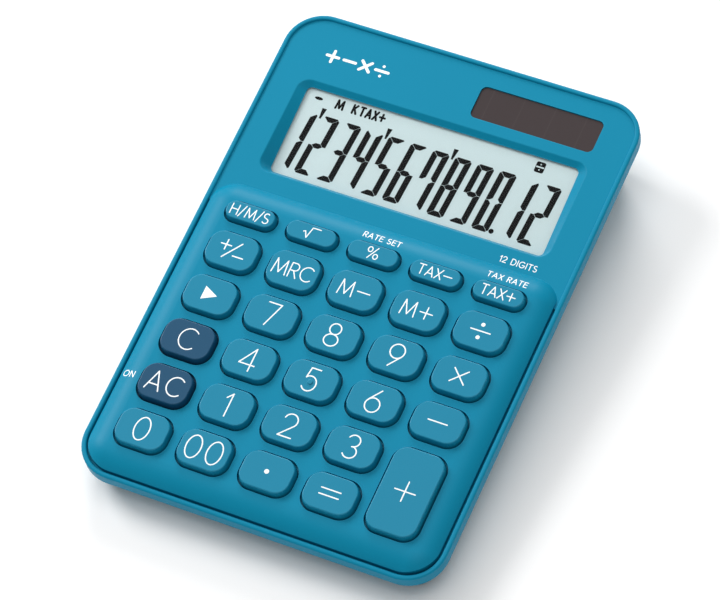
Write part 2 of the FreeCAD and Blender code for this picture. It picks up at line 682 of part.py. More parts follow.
def main_board():
    body = new_body("main_board")
    under = "-board_depth - board_thick"
    pad(body, board_outline(body, "board_outline", "0", under), "board_thick")
    holes = circle_sketch(body, "board_holes", "shank_radius + boss_clearance",
                          CASE_CROSSINGS + BOARD_CROSSINGS, "-board_depth")
    pocket(body, holes, "board_thick")
    on_deck(body)
    return keep(body, "main_board")


def board_parts():
    """What is soldered to the underside of the board."""
    under = "-board_depth - board_thick"
    chip = new_body("chip_cap")
    resin = pad(chip, disc_sketch(chip, "chip_outline", "chip_radius",
                                  ("0", "-chip_y", under)),
                "chip_height", down=True)
    lowest = -(sheet.board_depth + sheet.board_thick + sheet.chip_height)
    round_edges(chip, resin, "chip_round", flat_at(lowest))
    on_deck(chip)
    keep(chip, "chip_cap")

    capacitor = new_body("filter_capacitor")
    can = disc_sketch(capacitor, "capacitor_outline", "capacitor_radius",
                      ("column_pitch", "small_row - capacitor_radius", under))
    pad(capacitor, can, "capacitor_length", down=True)
    on_deck(capacitor)
    keep(capacitor, "filter_capacitor")

    diode = new_body("limiting_diode")
    lamp = disc_sketch(diode, "diode_outline", "diode_radius",
                       ("column_pitch / 2", "small_row - capacitor_radius", under))
    pad(diode, lamp, "diode_length", down=True)
    on_deck(diode)
    keep(diode, "limiting_diode")

    resistors = new_body("chip_resistors")
    first = rounded_sketch(resistors, "resistor_outline", "resistor_width", "resistor_length",
                           "resistor_corner", ("-column_pitch", "-first_row", under))
    chips = pad(resistors, first, "resistor_height", down=True)
    repeat(resistors, chips, [("X_Axis", 4, "resistor_pitch", False)])
    on_deck(resistors)
    keep(resistors, "chip_resistors")


# ---------------------------------------------------------------- the display

DISPLAY_SCREW_Y = "hopper_y - hopper_length / 2 + display_screw_inset"


def window_point(along, below):
    """A place on the leaning plane of the display, some way below the lens seat."""
    return ("0", "window_y + ( %s ) * cos( window_tilt ) + ( %s ) * sin( window_tilt )"
            % (along, below),
            "-window_depth + ( %s ) * sin( window_tilt ) - ( %s ) * cos( window_tilt )"
            % (along, below))


def display_layer(label, width, length, thick, above):
    """A flat sheet that leans with the display, some way below the lens seat."""
    body = new_body(label)
    outline = rounded_sketch(body, label + "_outline", width, length, "window_corner",
                             window_point("0", above), "window_tilt")
    pad(body, outline, thick, down=True)
    on_deck(body)
    return keep(body, label)


def display():
    display_layer("lcd_lens", "lens_width", "lens_length", "lens_thick", "0")
    display_layer("lcd_glass", "lens_width", "lens_length", "glass_thick", "lens_thick")
    display_layer("lcd_reflector", "lens_width - 2 * frame_wall", "window_length", "film_thick",
                  "lens_thick + glass_thick")

    # The frame is a tray screwed to the block from below, with a slot for the ribbon.
    tray = new_body("lcd_frame")
    stack = "lens_thick + glass_thick + film_thick"
    middle = "hopper_y - window_y"
    outline = rounded_sketch(tray, "frame_outline", "hopper_width - wall",
                             "hopper_length - wall / 2", "pillow_corner",
                             window_point(middle, "0"), "window_tilt")
    pad(tray, outline, "%s + frame_wall" % stack, down=True)
    well = rounded_sketch(tray, "frame_well", "lens_width + 2 * stack_gap",
                          "lens_length + 2 * stack_gap", "frame_wall",
                          window_point("0", "0"), "window_tilt")
    pocket(tray, well, stack)
    slot = rounded_sketch(tray, "ribbon_slot", "ribbon_width + 2 * frame_wall",
                          "ribbon_slot", "frame_wall / 2",
                          window_point("ribbon_slot - lens_length / 2", stack),
                          "window_tilt")
    pocket(tray, slot, "2 * frame_wall")
    screws = [("display_screw_x", side, DISPLAY_SCREW_Y, 1) for side in (1, -1)]
    holes = circle_sketch(tray, "frame_holes", "display_screw_radius + stack_gap", screws,
                          "-window_depth")
    pocket(tray, holes, "hopper_drop + window_depth - panel_depth")
    on_deck(tray)
    keep(tray, "lcd_frame")

    fixings = new_body("lcd_screws")
    seat = "( window_depth + ( window_y - %s ) * tan( window_tilt ) + %s + frame_wall )" % (
        "( %s )" % DISPLAY_SCREW_Y, stack)
    heads = circle_sketch(fixings, "display_screw_heads", "display_head_radius", screws,
                          "-%s - 2 * stack_gap" % seat)
    pad(fixings, heads, "display_head_height", down=True)
    shanks = circle_sketch(fixings, "display_screw_shanks", "display_screw_radius", screws,
                           "-%s - 2 * stack_gap" % seat)
    pad(fixings, shanks, "%s - panel_depth - wall" % seat)
    on_deck(fixings)
    keep(fixings, "lcd_screws")


def strip(body, name, across, runs):
    """A bent strip: boxes end to end. A run is (y words, z words, length, height)."""
    for index, (along, rise, length, height) in enumerate(runs):
        box = body.newObject("PartDesign::AdditiveBox", "%s_%d" % (name, index))
        bind(box, Length=across, Width=length, Height=height)
        box.AttachmentSupport = (origin_feature(body, "XY_Plane"), [""])
        box.MapMode = "FlatFace"
        move(box, "AttachmentOffset", ("-( %s ) / 2" % across, along, rise))


def display_ribbon():
    """The flexible ribbon from the underside of the glass to the underside of the board."""
    body = new_body("lcd_ribbon")
    rear = "( window_y - lens_length / 2 + ribbon_slot )"
    top = ("( window_depth + ( window_y - %s ) * tan( window_tilt ) + lens_thick"
           " + glass_thick )" % rear)
    low = "( %s + ribbon_drop )" % top
    front = "( board_rear - ribbon_slot )"
    board = "( board_depth + board_thick )"
    runs = [
        (rear, "-%s" % low, "ribbon_thick", "%s - %s - ribbon_thick / 2" % (low, top)),
        (front, "-%s" % low, "%s - %s + ribbon_thick" % (rear, front), "ribbon_thick"),
        (front, "-%s" % low, "ribbon_thick", "%s - %s" % (low, board)),
    ]
    strip(body, "ribbon_run", "ribbon_width", runs)
    on_deck(body)
    return keep(body, "lcd_ribbon")


# ---------------------------------------------------------------- the solar cell


def solar():
    cover = new_body("solar_cover")
    seat = "-panel_depth - wall"
    flange = rounded_sketch(cover, "solar_flange_outline", "solar_width + 2 * solar_flange",
                            "solar_length + 2 * solar_flange", "solar_corner + solar_flange",
                            ("solar_x", "solar_y", seat))
    pad(cover, flange, "flange_thick", down=True)
    plug = rounded_sketch(cover, "solar_plug", "solar_width - 2 * solar_fit",
                          "solar_length - 2 * solar_fit", "solar_corner - solar_fit",
                          ("solar_x", "solar_y", seat))
    pad(cover, plug, "wall - solar_sink")
    on_deck(cover)
    keep(cover, "solar_cover")

    cell = new_body("solar_cell")
    plate = rounded_sketch(cell, "solar_cell_outline", "solar_width", "solar_length",
                           "solar_flange / 4",
                           ("solar_x", "solar_y", "%s - flange_thick" % seat))
    pad(cell, plate, "solar_cell_thick", down=True)
    on_deck(cell)
    keep(cell, "solar_cell")


# ---------------------------------------------------------------- the lower case

FEET = [("foot_x", side, along, sign) for side in (1, -1)
        for along, sign in (("front_foot_y", -1), ("rear_foot_y", 1))]


def tapered_block(name, inset):
    """The inside or the outside of the lower case, before its floor is cut."""
    body = new_body(name)
    outline = rounded_sketch(body, name + "_outline", "case_width - 2 * ( %s )" % inset,
                             "case_length - 2 * ( %s )" % inset, "case_corner - ( %s )" % inset,
                             ("0", "0", "-skirt_depth"))
    pad(body, outline, "deck_height", down=True, taper="-side_draft")
    on_deck(body)
    return body


def table_slab(name, floor):
    """Everything between a floor height and the top of the model."""
    slab = doc.addObject("Part::Box", name)
    bind(slab, Length="case_width * 2", Width="case_length * 2", Height="deck_height * 2")
    move(slab, "Placement", ("-case_width", "-case_length", floor))
    return slab


def lower_case():
    outside = common("lower_outside", [tapered_block("outer_block", "lip_step"),
                                       table_slab("outer_slab", "foot_drop")])
    inside = common("lower_inside", [tapered_block("inner_block", "lip_step + lower_wall"),
                                     table_slab("inner_slab", "foot_drop + wall")])
    bowl = cut("lower_bowl", outside, inside)

    # The tongue stands inside the skirt of the upper case and locates it.
    tongue = new_body("tongue")
    ring = "( rim_width + tongue_gap )"
    outer = rounded_sketch(tongue, "tongue_outline", "case_width - 2 * %s" % ring,
                           "case_length - 2 * %s" % ring, "case_corner - %s" % ring,
                           ("0", "0", "-skirt_depth - tongue_root"))
    pad(tongue, outer, "tongue_root + tongue_rise")
    hollow_ring = "( rim_width + tongue_gap + tongue_wall )"
    hollow = rounded_sketch(tongue, "tongue_hollow", "case_width - 2 * %s" % hollow_ring,
                            "case_length - 2 * %s" % hollow_ring,
                            "case_corner - %s" % hollow_ring,
                            ("0", "0", "-skirt_depth + tongue_rise"))
    pocket(tongue, hollow, "tongue_root + tongue_rise")
    on_deck(tongue)
    outside_again = common("tongue_trim", [tongue, table_slab("tongue_slab", "foot_drop")])

    # Posts rise to the board, or to the rear bosses, and are cut at the floor.
    posts = new_body("posts")
    under_board = "-board_depth - board_thick"
    pad(posts, circle_sketch(posts, "post_outlines", "post_radius", CASE_CROSSINGS,
                             under_board), "deck_height", down=True)
    on_deck(posts)
    rear_posts = new_body("rear_posts")
    pad(rear_posts, circle_sketch(rear_posts, "rear_post_outlines", "post_radius",
                                  REAR_STATIONS, "-rear_boss_end"), "deck_height", down=True)
    on_deck(rear_posts)
    standing = common("standing_posts", [join("all_posts", [posts, rear_posts]),
                                         table_slab("post_slab", "foot_drop")])

    battery_box = new_body("battery_box")
    box = rounded_sketch(battery_box, "battery_box_outline", "box_width", "box_length",
                         "door_corner", ("door_x", "cell_y", "foot_drop"))
    pad(battery_box, box, "door_thick + cell_thick + contact_thick + box_roof")

    solid = join("lower_solid", [bowl, outside_again, standing, battery_box])

    # Wells for the screw heads and holes for the screws, square to the deck.
    drills = new_body("drills")
    well_top = "-board_depth - board_thick - seat_wall"
    pad(drills, circle_sketch(drills, "screw_wells", "head_radius + boss_clearance / 2",
                              CASE_CROSSINGS, well_top), "deck_height", down=True)
    pad(drills, circle_sketch(drills, "screw_holes", "shank_radius + boss_clearance / 2",
                              CASE_CROSSINGS, "-board_depth"), "deck_height / 2", down=True)
    on_deck(drills)
    rear_drills = new_body("rear_drills")
    pad(rear_drills, circle_sketch(rear_drills, "rear_wells", "head_radius + boss_clearance / 2",
                                   REAR_STATIONS, "-rear_boss_end - seat_wall"),
        "deck_height", down=True)
    pad(rear_drills, circle_sketch(rear_drills, "rear_screw_holes",
                                   "shank_radius + boss_clearance / 2", REAR_STATIONS,
                                   "-rear_boss_end"), "deck_height / 2", down=True)
    on_deck(rear_drills)
    drilled = cut("lower_drilled", solid, join("all_drills", [drills, rear_drills]))

    body = new_body("bottom_case")
    body.BaseFeature = drilled
    door = rounded_sketch(body, "door_opening", "door_width + 2 * door_gap",
                          "door_length + 2 * door_gap", "door_corner + door_gap",
                          ("door_x", "cell_y", "foot_drop"))
    pocket(body, door, "door_thick", up=True)
    well = disc_sketch(body, "cell_well", "cell_radius + cell_gap",
                       ("cell_x", "cell_y", "foot_drop + door_thick"))
    pocket(body, well, "cell_thick + contact_thick", up=True)
    slots = [("side_slot", "cell_x + cell_radius + contact_thick / 2"),
             ("roof_slot", "cell_x - contact_width / 2")]
    for name, across in slots:
        slot = rounded_sketch(body, name, "2 * contact_thick + 2 * cell_gap",
                              "contact_width + 2 * cell_gap", "contact_thick / 2",
                              (across, "cell_y", "foot_drop + door_thick"))
        pocket(body, slot, "cell_thick + contact_thick + box_roof", up=True)
    pilot = disc_sketch(body, "door_pilot", "shank_radius",
                        ("door_screw_x", "cell_y", "foot_drop + door_thick"))
    pocket(body, pilot, "cell_thick", up=True)
    seats = circle_sketch(body, "foot_seats", "foot_radius", FEET, "foot_drop")
    pocket(body, seats, "foot_sink", up=True)
    return keep(body, "bottom_case")


def feet():
    body = new_body("rubber_feet")
    pad(body, circle_sketch(body, "foot_outlines", "foot_radius", FEET, "0"),
        "foot_drop + foot_sink")
    return keep(body, "rubber_feet")


# ---------------------------------------------------------------- screws


def screws(label, groups, length, seats):
    """A group of alike screws, heads down, square to the deck."""
    body = new_body(label)
    for index, (stations, seat) in enumerate(zip(groups, seats)):
        heads = circle_sketch(body, "%s_heads_%d" % (label, index), "head_radius", stations, seat)
        pad(body, heads, "head_height", down=True)
        shanks = circle_sketch(body, "%s_shanks_%d" % (label, index), "shank_radius",
                               stations, seat)
        pad(body, shanks, length)
    on_deck(body)
    return keep(body, label)


# ---------------------------------------------------------------- the battery


def battery():
    floor = "foot_drop + door_thick"
    cell = new_body("button_cell")
    can = pad(cell, disc_sketch(cell, "cell_outline", "cell_radius",
                                ("cell_x", "cell_y", floor)), "cell_thick")
    round_edges(cell, can, "contact_thick",
                flat_at(sheet.foot_drop + sheet.door_thick + sheet.cell_thick))
    keep(cell, "button_cell")

    roof = "foot_drop + door_thick + cell_thick"
    negative = new_body("battery_contact_negative")
    reach = "( contact_width / 2 + contact_thick / 2 )"
    plates = [("plate", reach, "cell_x - %s" % reach, roof, "contact_thick"),
              ("tab", "contact_thick", "cell_x - %s" % reach, roof,
               "contact_thick + box_roof + tab_rise")]
    for name, width, left, low, height in plates:
        plate = negative.newObject("PartDesign::AdditiveBox", "negative_" + name)
        bind(plate, Length=width, Width="contact_width", Height=height)
        plate.AttachmentSupport = (origin_feature(negative, "XY_Plane"), [""])
        plate.MapMode = "FlatFace"
        move(plate, "AttachmentOffset", (left, "cell_y - contact_width / 2", low))
    keep(negative, "battery_contact_negative")

    positive = new_body("battery_contact_positive")
    plate = positive.newObject("PartDesign::AdditiveBox", "positive_plate")
    bind(plate, Length="contact_thick", Width="contact_width",
         Height="cell_thick + box_roof + tab_rise")
    plate.AttachmentSupport = (origin_feature(positive, "XY_Plane"), [""])
    plate.MapMode = "FlatFace"
    move(plate, "AttachmentOffset", ("cell_x + cell_radius", "cell_y - contact_width / 2",
                                     "%s + contact_thick" % floor))
    keep(positive, "battery_contact_positive")

    door = new_body("battery_door")
    pad(door, rounded_sketch(door, "door_outline", "door_width", "door_length", "door_corner",
                             ("door_x", "cell_y", "foot_drop")), "door_thick")
    sink = disc_sketch(door, "door_screw_sink", "head_radius + boss_clearance / 2",
                       ("door_screw_x", "cell_y", "foot_drop"))
    pocket(door, sink, "door_thick / 2", up=True)
    hole = disc_sketch(door, "door_screw_hole", "shank_radius + boss_clearance / 2",
                       ("door_screw_x", "cell_y", "foot_drop"))
    pocket(door, hole, "door_thick", up=True)
    keep(door, "battery_door")

    screw = new_body("battery_door_screw")
    seat = "foot_drop + door_thick / 2"
    pad(screw, disc_sketch(screw, "door_screw_head", "head_radius",
                           ("door_screw_x", "cell_y", seat)), "door_head_height", down=True)
    pad(screw, disc_sketch(screw, "door_screw_shank", "shank_radius",
                           ("door_screw_x", "cell_y", seat)), "door_screw_length")
    keep(screw, "battery_door_screw")


# ---------------------------------------------------------------- the wires

# The share of a straight run that a bend at its end may take.
BEND_SHARE = 0.45


def deck_point(across, along, below):
    """A point of the deck frame in the row frame."""
    angle = math.radians(sheet.deck_tilt)
    return FreeCAD.Vector(
        across,
        along * math.cos(angle) + below * math.sin(angle) - sheet.deck_shift,
        sheet.deck_height + along * math.sin(angle) - below * math.cos(angle))


def wire(label, points):
    """An insulated wire: straight runs joined by arcs, swept with a round section."""
    path = []
    last = points[0]
    for before, point, after in zip(points, points[1:], points[2:]):
        into = point - before
        out = after - point
        turn = into.getAngle(out)
        step = BEND_SHARE * min(into.Length, out.Length)
        radius = step / math.tan(turn / 2)
        arc_start = point - FreeCAD.Vector(into).normalize() * step
        arc_end = point + FreeCAD.Vector(out).normalize() * step
        inward = (arc_start + arc_end) * 0.5 - point
        centre = point + FreeCAD.Vector(inward).normalize() * (radius / math.cos(turn / 2))
        middle = centre - FreeCAD.Vector(inward).normalize() * radius
        path.append(Part.LineSegment(last, arc_start).toShape())
        path.append(Part.Arc(arc_start, middle, arc_end).toShape())
        last = arc_end
        print(label, "bend radius %.1f mm" % radius)
    path.append(Part.LineSegment(last, points[-1]).toShape())
    spine = Part.Wire(path)
    heading = points[1] - points[0]
    section = Part.Wire([Part.Circle(points[0], heading, sheet.wire_radius).toShape()])
    feature = doc.addObject("Part::Feature", label)
    feature.Shape = spine.makePipeShell([section], True, False)
    length = feature.Shape.Volume / (math.pi * sheet.wire_radius ** 2)
    print(label, "length %.1f mm, path %.1f mm" % (length, spine.Length))
    return keep(feature, label)


def wires():
    under_board = sheet.board_depth + sheet.board_thick
    under_solar = (sheet.panel_depth + sheet.wall + sheet.flange_thick
                   + sheet.solar_cell_thick)
    for label, side in (("solar_wire_red", 1.0), ("solar_wire_black", -1.0)):
        across = sheet.solar_x + side * sheet.solar_wire_x
        wire(label, [deck_point(across, sheet.solar_y, under_solar),
                     deck_point(across, sheet.solar_y, sheet.wire_drop),
                     deck_point(across, sheet.wire_end_y, sheet.wire_drop),
                     deck_point(across, sheet.wire_end_y, under_board)])

    box_top = (sheet.foot_drop + sheet.door_thick + sheet.cell_thick + sheet.contact_thick
               + sheet.box_roof)
    rise = box_top + sheet.wire_radius + sheet.stack_gap
    low = box_top - 2 * sheet.wire_radius - sheet.stack_gap
    angle = math.radians(sheet.deck_tilt)
    depth = ((sheet.deck_height + sheet.wire_end_y * math.sin(angle) - low) / math.cos(angle))
    box_front = sheet.cell_y - sheet.box_length / 2
    tabs = (("battery_wire_red", sheet.cell_x + sheet.cell_radius + sheet.contact_thick / 2),
            ("battery_wire_black", sheet.cell_x - sheet.contact_width / 2))
    for label, across in tabs:
        wire(label, [
            FreeCAD.Vector(across, sheet.cell_y - sheet.contact_width / 2, rise),
            FreeCAD.Vector(across, box_front - sheet.wire_clear, rise),
            FreeCAD.Vector(across, box_front - sheet.wire_clear - sheet.wire_slope, low),
            deck_point(across, sheet.wire_end_y, depth),
            deck_point(across, sheet.wire_end_y, under_board)])


# ---------------------------------------------------------------- build, check, write


def check(items):
    """Stop if any object failed, or if a sub-part isn't a sound solid."""
    for item in doc.Objects:
        if "Invalid" in item.State or "Error" in item.State:
            raise RuntimeError("%s is %s" % (item.Label, item.State))
    for item in items:
        shape = item.Shape
        if shape.isNull() or not shape.isValid() or not shape.Solids:
            raise RuntimeError("%s is not a sound solid" % item.Label)
        box = shape.BoundBox
        print("%-26s solids %2d  volume %9.1f  x %6.1f %6.1f  y %6.1f %6.1f  z %5.1f %5.1f" % (
            item.Label, len(shape.Solids), shape.Volume, box.XMin, box.XMax,
            box.YMin, box.YMax, box.ZMin, box.ZMax))


def write(items):
    os.makedirs("parts", exist_ok=True)
    for item in items:
        item.Shape.exportStep("parts/%s.step" % item.Label)


def main():
    upper_case()
    keypad()
    key_mat()
    main_board()
    board_parts()
    display()
    display_ribbon()
    solar()
    lower_case()
    feet()
    screws("case_screws", [CASE_CROSSINGS, REAR_STATIONS], "case_screw_length",
           ["-board_depth - board_thick - seat_wall", "-rear_boss_end - seat_wall"])
    screws("board_screws", [BOARD_CROSSINGS], "board_screw_length",
           ["-board_depth - board_thick"])
    battery()
    wires()
    doc.recompute()
    check(SUB_PARTS)
    write(SUB_PARTS)
    whole = FreeCAD.BoundBox()
    for item in SUB_PARTS:
        whole.add(item.Shape.BoundBox)
    print("whole", whole, "nodes", len(SUB_PARTS))


main()
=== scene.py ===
# %% [markdown]
# # A desk calculator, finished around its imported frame
# The solid parts come from CAD and keep their places. Here they get their plastics, metals
# and rubber, and the pieces that CAD leaves out: printed legends, the characters of the
# liquid crystal display, and the light and table to look at it by.
# We load the frame first, because every place below is read from it.

# %% Load the frame
import math

import bmesh
import bpy
from mathutils import Matrix, Vector
from mathutils.bvhtree import BVHTree
from mathutils.geometry import delaunay_2d_cdt


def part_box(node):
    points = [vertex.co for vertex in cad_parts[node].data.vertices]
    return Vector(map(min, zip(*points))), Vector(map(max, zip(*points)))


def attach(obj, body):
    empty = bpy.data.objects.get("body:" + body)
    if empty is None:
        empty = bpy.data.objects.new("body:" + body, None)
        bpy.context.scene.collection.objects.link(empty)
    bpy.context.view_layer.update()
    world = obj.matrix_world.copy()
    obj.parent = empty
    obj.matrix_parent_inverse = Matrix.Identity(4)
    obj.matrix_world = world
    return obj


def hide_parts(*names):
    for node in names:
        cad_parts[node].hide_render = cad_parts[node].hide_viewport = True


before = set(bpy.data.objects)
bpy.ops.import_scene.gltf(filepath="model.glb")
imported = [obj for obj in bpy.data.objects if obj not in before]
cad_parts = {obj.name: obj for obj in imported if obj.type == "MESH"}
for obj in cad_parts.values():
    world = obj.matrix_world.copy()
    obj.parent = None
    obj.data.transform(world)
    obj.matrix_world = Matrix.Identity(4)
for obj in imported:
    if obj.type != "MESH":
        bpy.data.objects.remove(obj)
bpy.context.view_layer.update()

MM = 0.001

# %% [markdown]
# ## Finding the surfaces that things are printed on
# The top of this calculator leans, and its display leans a little more. A legend has to lie
# flat on its key, so we need a small frame of reference on each surface: where its middle is,
# which way is up the slope and which way is out. We could type angles in, but reading them
# from the largest flat face of each part means that they can never disagree with the CAD.

# %% A frame of reference on the top face of a part
SAME_LEVEL = 0.02 * MM
MOSTLY_UP = 0.9


def top_frame(node):
    """A matrix at the middle of a part's largest upward face: x right, y up the slope, z out."""
    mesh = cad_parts[node].data
    upward = [face for face in mesh.polygons if face.normal.z > MOSTLY_UP]
    face = max(upward, key=lambda item: item.area)
    out = face.normal.normalized()
    level = out.dot(mesh.vertices[face.vertices[0]].co)
    right = Vector((1, 0, 0))
    slope = out.cross(right).normalized()
    points = [v.co for v in mesh.vertices if abs(out.dot(v.co) - level) < SAME_LEVEL]
    across = [right.dot(point) for point in points]
    along = [slope.dot(point) for point in points]
    middle = (right * (min(across) + max(across)) / 2
              + slope * (min(along) + max(along)) / 2 + out * level)
    turned = Matrix((right, slope, out)).transposed().to_4x4()
    return Matrix.Translation(middle) @ turned


key_names = sorted(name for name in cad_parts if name.startswith("key_")
                   and name != "key_mat")
key_tops = {name: top_frame(name) for name in key_names}
deck = key_tops["key_percent"]
print(len(key_names), "keys; the deck leans",
      round(math.degrees(math.atan2(deck[2][1], deck[1][1])), 2), "degrees")

# %% [markdown]
# ## Building shader node trees with a few small helpers
# Every finish below is a tree of nodes. Blender lets us place nodes by hand in its editor,
# but in a script the same four moves come back again and again: make a material, add a node
# with its settings, join two sockets, and put a shared group in. Writing those once keeps
# each finish short enough to read as a recipe.

# %% Helpers for nodes


def srgb(red, green, blue):
    """The linear colour of a value from a colour picker, 0 to 255 for each channel."""
    def linear(value):
        value /= 255
        return value / 12.92 if value <= 0.04045 else ((value + 0.055) / 1.055) ** 2.4
    return (linear(red), linear(green), linear(blue), 1.0)


def add_node(tree, kind, settings=None, inputs=None):
    node = tree.nodes.new(kind)
    for name, value in (settings or {}).items():
        setattr(node, name, value)
    for name, value in (inputs or {}).items():
        node.inputs[name].default_value = value
    return node


def new_group(name, inputs, outputs):
    """An empty shader group. Inputs are (name, kind, value), outputs are (name, kind)."""
    group = bpy.data.node_groups.new(name, "ShaderNodeTree")
    for label, kind, value in inputs:
        socket = group.interface.new_socket(name=label, in_out="INPUT",
                                            socket_type="NodeSocket" + kind)
        socket.default_value = value
    for label, kind in outputs:
        group.interface.new_socket(name=label, in_out="OUTPUT",
                                   socket_type="NodeSocket" + kind)
    return group, group.nodes.new("NodeGroupInput"), group.nodes.new("NodeGroupOutput")


def put_group(tree, group, values):
    node = tree.nodes.new("ShaderNodeGroup")
    node.node_tree = group
    for name, value in values.items():
        node.inputs[name].default_value = value
    return node


def new_material(name, **constants):
    """A material with a Principled BSDF whose constant values are set on its own sockets."""
    material = bpy.data.materials.new(name)
    material.use_nodes = True
    shader = material.node_tree.nodes["Principled BSDF"]
    for socket, value in constants.items():
        shader.inputs[socket.replace("_", " ")].default_value = value
    return material, material.node_tree, shader


def bump_from(tree, shader, height, distance):
    """Turn a height, 0 to 1, into a bump whose real depth is distance, in metres."""
    bump = add_node(tree, "ShaderNodeBump", inputs={"Strength": 1.0, "Distance": distance})
    tree.links.new(height, bump.inputs["Height"])
    tree.links.new(bump.outputs["Normal"], shader.inputs["Normal"])
    return bump


# %% [markdown]
# ## Mould grain
# The steel mould of a case like this is eroded by sparks, so the plastic comes out with a
# fine, even grain that takes the gloss off, and its colour drifts very slightly where the
# plastic cooled at different speeds. An image of grain would stretch on the curved surround.
# Noise in the object's own coordinates has no seams, so we build the grain once as a group
# and give each plastic its own grain size.

# %% The mould grain group
mould_grain, enter, leave = new_group("mould_grain", [
    ("Colour", "Color", (0.5, 0.5, 0.5, 1)), ("Grain per Metre", "Float", 3500.0),
    ("Roughness", "Float", 0.4), ("Roughness Spread", "Float", 0.1),
    ("Shade Spread", "Float", 0.06), ("Drift per Metre", "Float", 45.0)],
    [("Colour", "Color"), ("Roughness", "Float"), ("Height", "Float")])
place = add_node(mould_grain, "ShaderNodeTexCoord")
grain = add_node(mould_grain, "ShaderNodeTexNoise", inputs={"Detail": 3.0, "Roughness": 0.6})
drift = add_node(mould_grain, "ShaderNodeTexNoise", inputs={"Detail": 2.0})
for noise, rate in ((grain, "Grain per Metre"), (drift, "Drift per Metre")):
    mould_grain.links.new(place.outputs["Object"], noise.inputs["Vector"])
    mould_grain.links.new(enter.outputs[rate], noise.inputs["Scale"])


def spread_about(tree, value, spread, middle):
    """middle + (value - a half) * spread, where value runs from 0 to 1."""
    centred = add_node(tree, "ShaderNodeMath", {"operation": "SUBTRACT"}, {1: 0.5})
    tree.links.new(value, centred.inputs[0])
    scaled = add_node(tree, "ShaderNodeMath", {"operation": "MULTIPLY_ADD"})
    tree.links.new(centred.outputs[0], scaled.inputs[0])
    tree.links.new(spread, scaled.inputs[1])
    if isinstance(middle, float):
        scaled.inputs[2].default_value = middle
    else:
        tree.links.new(middle, scaled.inputs[2])
    return scaled.outputs[0]


def shaded(tree, colour, factor):
    """A colour made lighter or darker by a factor near 1."""
    scale = add_node(tree, "ShaderNodeVectorMath", {"operation": "SCALE"})
    tree.links.new(colour, scale.inputs[0])
    tree.links.new(factor, scale.inputs["Scale"])
    return scale.outputs[0]


shade = spread_about(mould_grain, drift.outputs["Fac"], enter.outputs["Shade Spread"], 1.0)
fine_shade = spread_about(mould_grain, grain.outputs["Fac"], enter.outputs["Shade Spread"], 1.0)
tinted = shaded(mould_grain, enter.outputs["Colour"], shade)
mould_grain.links.new(shaded(mould_grain, tinted, fine_shade), leave.inputs["Colour"])
mould_grain.links.new(spread_about(mould_grain, grain.outputs["Fac"],
                                   enter.outputs["Roughness Spread"],
                                   enter.outputs["Roughness"]), leave.inputs["Roughness"])
mould_grain.links.new(grain.outputs["Fac"], leave.inputs["Height"])
print("mould_grain has", len(mould_grain.nodes), "nodes")

# %% [markdown]
# ## Edge wear and painted edge highlights
# Fingers polish the edges of keys and the rim of a case: there the grain wears away and the
# plastic looks a little shinier. The paler colour along the edges is a painted highlight, the
# thin bright line that light leaves on a rounded edge. Painting that by hand would take a
# texture. The Bevel node gives the normal as if every edge were rounded, so where it differs
# from the true normal there is an edge, and a coarse noise breaks the line up.

# %% The edge wear and painted highlight group
edge_wear_and_highlight, enter, leave = new_group("edge_wear_and_highlight", [
    ("Colour", "Color", (0.5, 0.5, 0.5, 1)), ("Worn and Highlight Colour", "Color", (0.8, 0.8, 0.8, 1)),
    ("Width", "Float", 0.0004), ("Amount", "Float", 0.5), ("Roughness", "Float", 0.4),
    ("Worn Roughness", "Float", 0.25)], [("Colour", "Color"), ("Roughness", "Float")])
rounded = add_node(edge_wear_and_highlight, "ShaderNodeBevel", {"samples": 4})
edge_wear_and_highlight.links.new(enter.outputs["Width"], rounded.inputs["Radius"])
true_face = add_node(edge_wear_and_highlight, "ShaderNodeNewGeometry")
facing = add_node(edge_wear_and_highlight, "ShaderNodeVectorMath", {"operation": "DOT_PRODUCT"})
edge_wear_and_highlight.links.new(rounded.outputs["Normal"], facing.inputs[0])
edge_wear_and_highlight.links.new(true_face.outputs["Normal"], facing.inputs[1])
edge = add_node(edge_wear_and_highlight, "ShaderNodeMapRange",
                inputs={"From Min": 0.995, "From Max": 0.85, "To Min": 0.0, "To Max": 1.0})
edge_wear_and_highlight.links.new(facing.outputs["Value"], edge.inputs["Value"])
place = add_node(edge_wear_and_highlight, "ShaderNodeTexCoord")
patches = add_node(edge_wear_and_highlight, "ShaderNodeTexNoise", inputs={"Scale": 220.0, "Detail": 4.0})
edge_wear_and_highlight.links.new(place.outputs["Object"], patches.inputs["Vector"])
broken = add_node(edge_wear_and_highlight, "ShaderNodeMapRange",
                  inputs={"From Min": 0.3, "From Max": 0.7, "To Min": 0.25, "To Max": 1.0})
edge_wear_and_highlight.links.new(patches.outputs["Fac"], broken.inputs["Value"])
mask = add_node(edge_wear_and_highlight, "ShaderNodeMath", {"operation": "MULTIPLY"})
edge_wear_and_highlight.links.new(edge.outputs["Result"], mask.inputs[0])
edge_wear_and_highlight.links.new(broken.outputs["Result"], mask.inputs[1])
amount = add_node(edge_wear_and_highlight, "ShaderNodeMath", {"operation": "MULTIPLY", "use_clamp": True})
edge_wear_and_highlight.links.new(mask.outputs[0], amount.inputs[0])
edge_wear_and_highlight.links.new(enter.outputs["Amount"], amount.inputs[1])


def mix_node(tree, kind, factor, first, second):
    """Mix two colours (RGBA) or two numbers (FLOAT)."""
    mix = add_node(tree, "ShaderNodeMix", {"data_type": kind})
    sockets = [item for item in mix.inputs if item.enabled]
    tree.links.new(factor, sockets[0])
    for source, socket in ((first, sockets[1]), (second, sockets[2])):
        if isinstance(source, (tuple, float)):
            socket.default_value = source
        else:
            tree.links.new(source, socket)
    return [item for item in mix.outputs if item.enabled][0]


